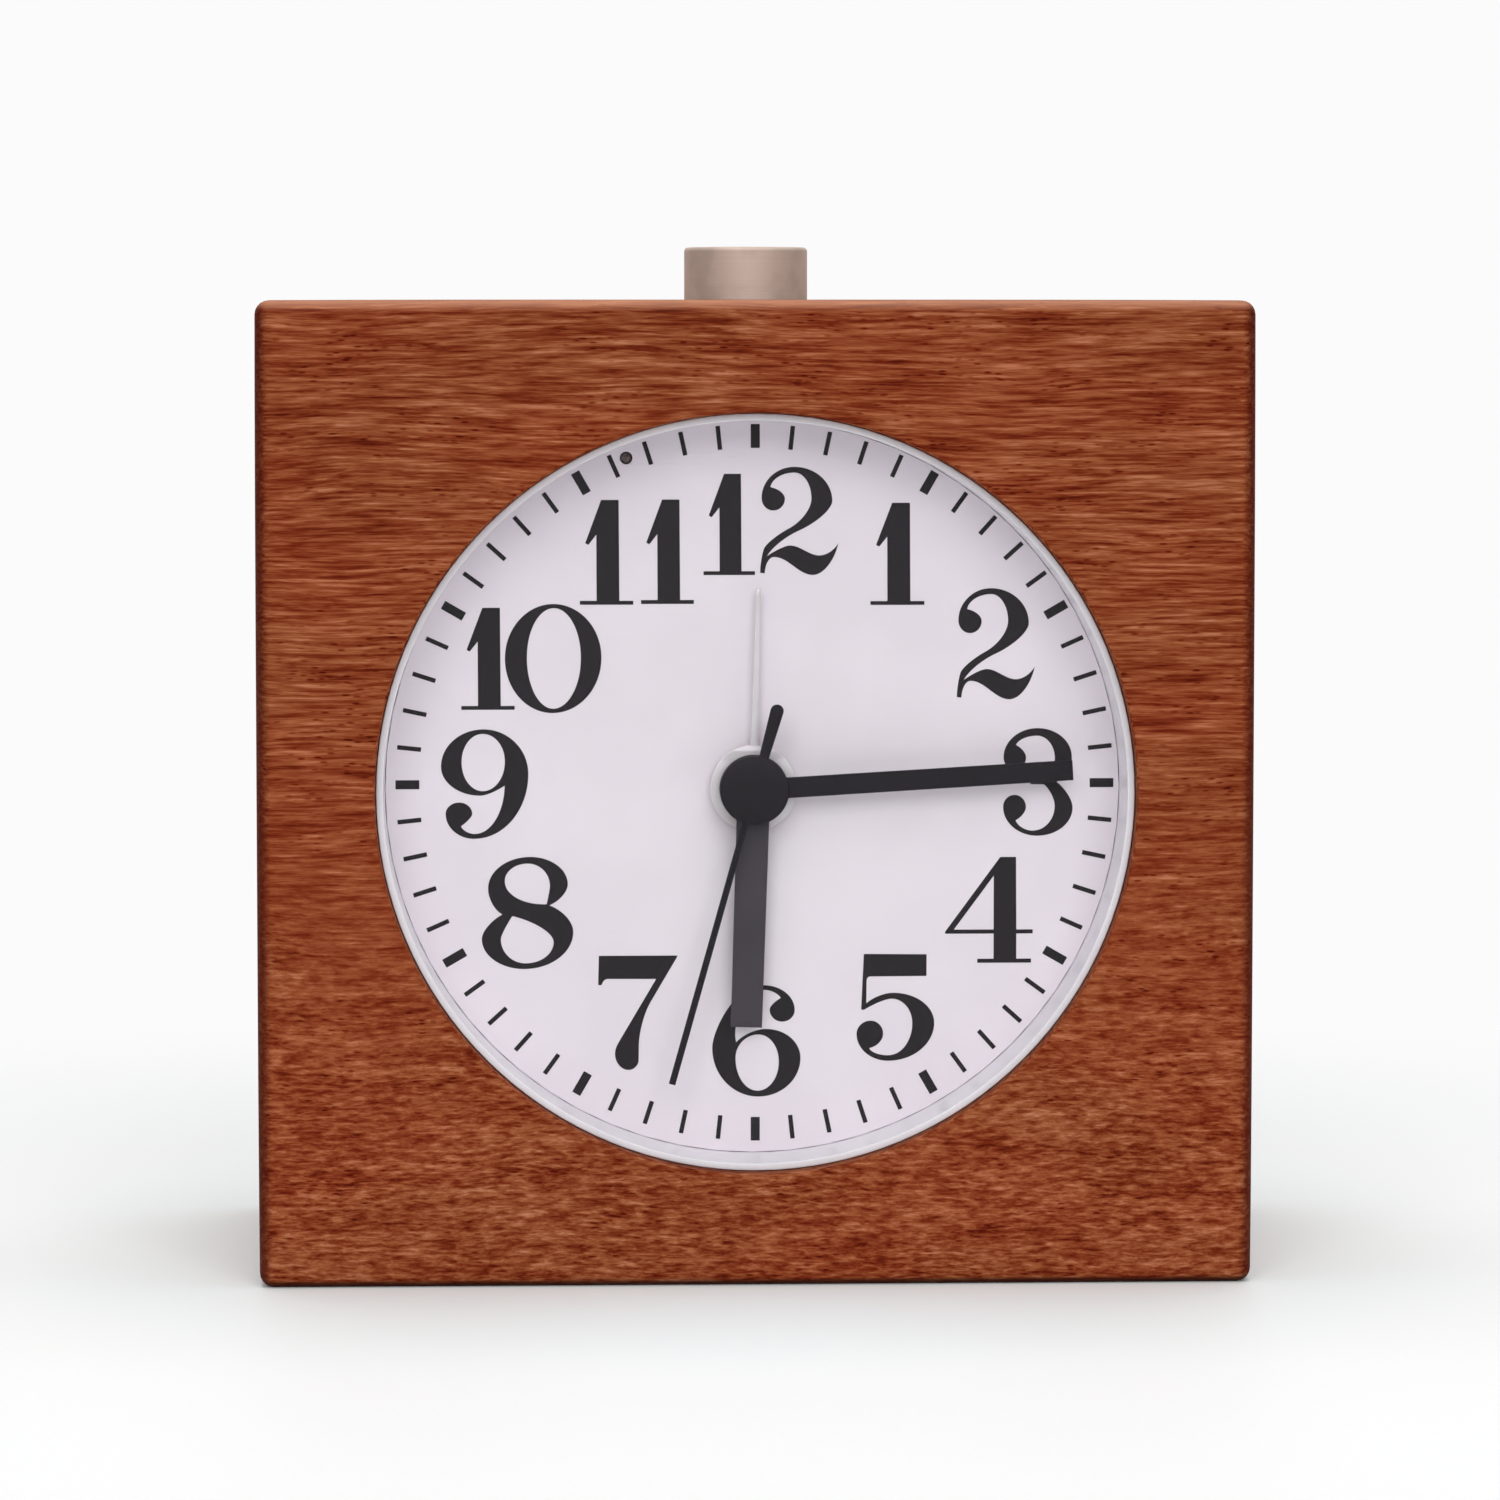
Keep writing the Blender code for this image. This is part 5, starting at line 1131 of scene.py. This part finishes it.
# %% The leads and the cell's spring
lead_radius = 0.4 * mm
lead_route = [(24.0, 9.5, 48.7), (26.8, 8.0, 52.0), (23.5, 6.2, 60.0), (14.0, 5.8, 67.0), (3.0, 5.6, 69.1)]
for name, code, side in (("red", "A82A22", 1), ("black", "202022", -1)):
    points = [Vector((side * x, y, z)) * mm for x, y, z in lead_route]
    moulded(name + "_sleeve", code, 0.40, 0.2, 0.003)
    fitted(wire_along(f"battery_lead_{name}_wire", points, lead_radius, 12), name + "_sleeve",
           stands_for=["battery_lead_" + name], flat_faces=False)

cell_wire = 0.25 * mm
contact_low, contact_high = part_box("negative_contact_spring")
wide, narrow = 4.8 * mm, 2.6 * mm
contact_turns = 2
contact_steps = 16 * contact_turns
contact_knots = []
for step in range(contact_steps + 1):
    share = step / contact_steps
    turn = 2 * math.pi * contact_turns * share
    radius = wide + (narrow - wide) * share
    x = contact_low.x + cell_wire + (contact_high.x - contact_low.x - 2 * cell_wire) * share
    out = Vector((0, math.sin(turn), -math.cos(turn))) * radius
    contact_knots.append(Vector((x, cell_middle.y, cell_middle.z)) + out)
fitted(wire_along("cell_spring", contact_knots, cell_wire, 4), "spring_steel",
       stands_for=["negative_contact_spring"], flat_faces=False)

# %% The motor's coil
coil_low, coil_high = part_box("motor_coil")
coil_middle = (coil_low + coil_high) / 2
half_coil = 6.0 * mm
flange = 0.5 * mm
bore_wall, spool, rim = 0.75 * mm, 1.10 * mm, 1.65 * mm
bobbin = bmesh.new()
turned(bobbin, [(bore_wall, -half_coil), (rim, -half_coil), (rim, flange - half_coil),
                (spool, flange - half_coil), (spool, half_coil - flange), (rim, half_coil - flange),
                (rim, half_coil), (bore_wall, half_coil)], 48, (1, 0, 0), coil_middle)
fitted(made("coil_bobbin", bobbin), "grey_plastic", stands_for=["motor_coil"])

coil_wire = 0.10 * mm
winding_radius = 1.27 * mm
winding_turns = 52
run = half_coil - flange - coil_wire
winding = helix(coil_wire, coil_middle + Vector((-run, 0, winding_radius)), coil_middle, (1, 0, 0),
                (2 * run / winding_turns, 0, 0), winding_turns, 24, 6)
fitted(made("coil_winding", winding), "copper_wire", stands_for=["motor_coil"], flat_faces=False)
core_half = Vector((0, 0.4, 0.5)) * mm
core = bmesh.new()
slab(core, (coil_low.x, *(coil_middle - core_half).yz), (coil_high.x, *(coil_middle + core_half).yz),
     0, 0.06 * mm)
fitted(made("coil_core", core), "plated_steel", stands_for=["motor_coil"])

# %% [markdown]
# ## The studio
#
# The clock stands on a pale floor that runs on without a horizon. Large soft lamps and an even sky give it
# the flat light of a product photograph. The floor keeps the soft shadow beside the block, and far from the
# clock it fades into the backdrop's tone. The camera sees that tone in the sky and on the far floor, and so do
# metal and glass, but neither lights the clock more than the even sky does.

# %% The sky
backdrop = tone("FBFBFB")
sky = bpy.data.worlds.new("studio_sky")
bpy.context.scene.world = sky
studio = Finish("studio_sky", sky)
even_light = studio.node("Background", None, {"Color": (1, 1, 1, 1), "Strength": 0.45})
plain_tone = studio.node("Background", None, {"Color": backdrop, "Strength": 1.0})
studio.node("OutputWorld", None, {"Surface": studio.node("MixShader", None, {
    0: studio.straight_view(), 1: even_light, 2: plain_tone})})

# %% The lamps
def softbox(name, place, size, power, target=(0, 0, 0.045)):
    """Large square lamp that points at the clock."""
    data = bpy.data.lights.new(name, "AREA")
    data.shape = "SQUARE"
    data.size = size
    data.energy = power
    lamp = bpy.data.objects.new(name, data)
    lamp.location = place
    lamp.rotation_euler = (Vector(target) - Vector(place)).to_track_quat("-Z", "Y").to_euler()
    bpy.context.scene.collection.objects.link(lamp)


softbox("lamp_above", (0.0, 0.16, 1.2), 0.7, 5.2)
softbox("lamp_high", (0.0, -0.75, 1.0), 0.7, 2.4)
softbox("lamp_front_left", (-0.34, -1.25, 0.6), 0.6, 4.2)
softbox("lamp_front_right", (0.34, -1.25, 0.6), 0.6, 4.2)

# %% The floor
fade = (90, 190)        # millimetres from the clock, where the lit floor turns into the plain tone
unlit = (200, 310)      # and where the floor that only the light reaches turns grey


def pale_floor():
    """Pale floor: lit near the clock, and one plain tone far away."""
    ground = Finish("studio_floor")
    spot = ground.spot()
    reach = ground.node("VectorMath", {"operation": "LENGTH"}, {0: spot}, 1)
    far = ground.band(reach, *fade)
    grain = ground.cloud(spot, (0.6, 0.6, 0.6))
    pale = ground.blend(tone("F8F9F9"), tone("F4F5F5"), grain)
    # Painted cool tint near the clock, which cancels the red light that the wood bounces onto the floor.
    pale = ground.blend(pale, tone("F3F8F8"), ground.band(reach, 85, 50))
    unseen = ground.band(reach, *unlit)
    near = ground.surface({"Base Color": ground.blend(pale, tone("707070"), unseen), "Roughness": 0.6})
    plain = ground.node("Emission", None, {"Color": backdrop, "Strength": 1.0})
    ground.done(ground.node("MixShader", None, {0: far * ground.straight_view(), 1: near, 2: plain}))


ground = bmesh.new()
bmesh.ops.create_grid(ground, x_segments=1, y_segments=1, size=20)
floor = made("studio_floor", ground)
pale_floor()
floor.data.materials.append(finishes["studio_floor"])

# %% The view transform
bpy.context.scene.view_settings.view_transform = "Standard"
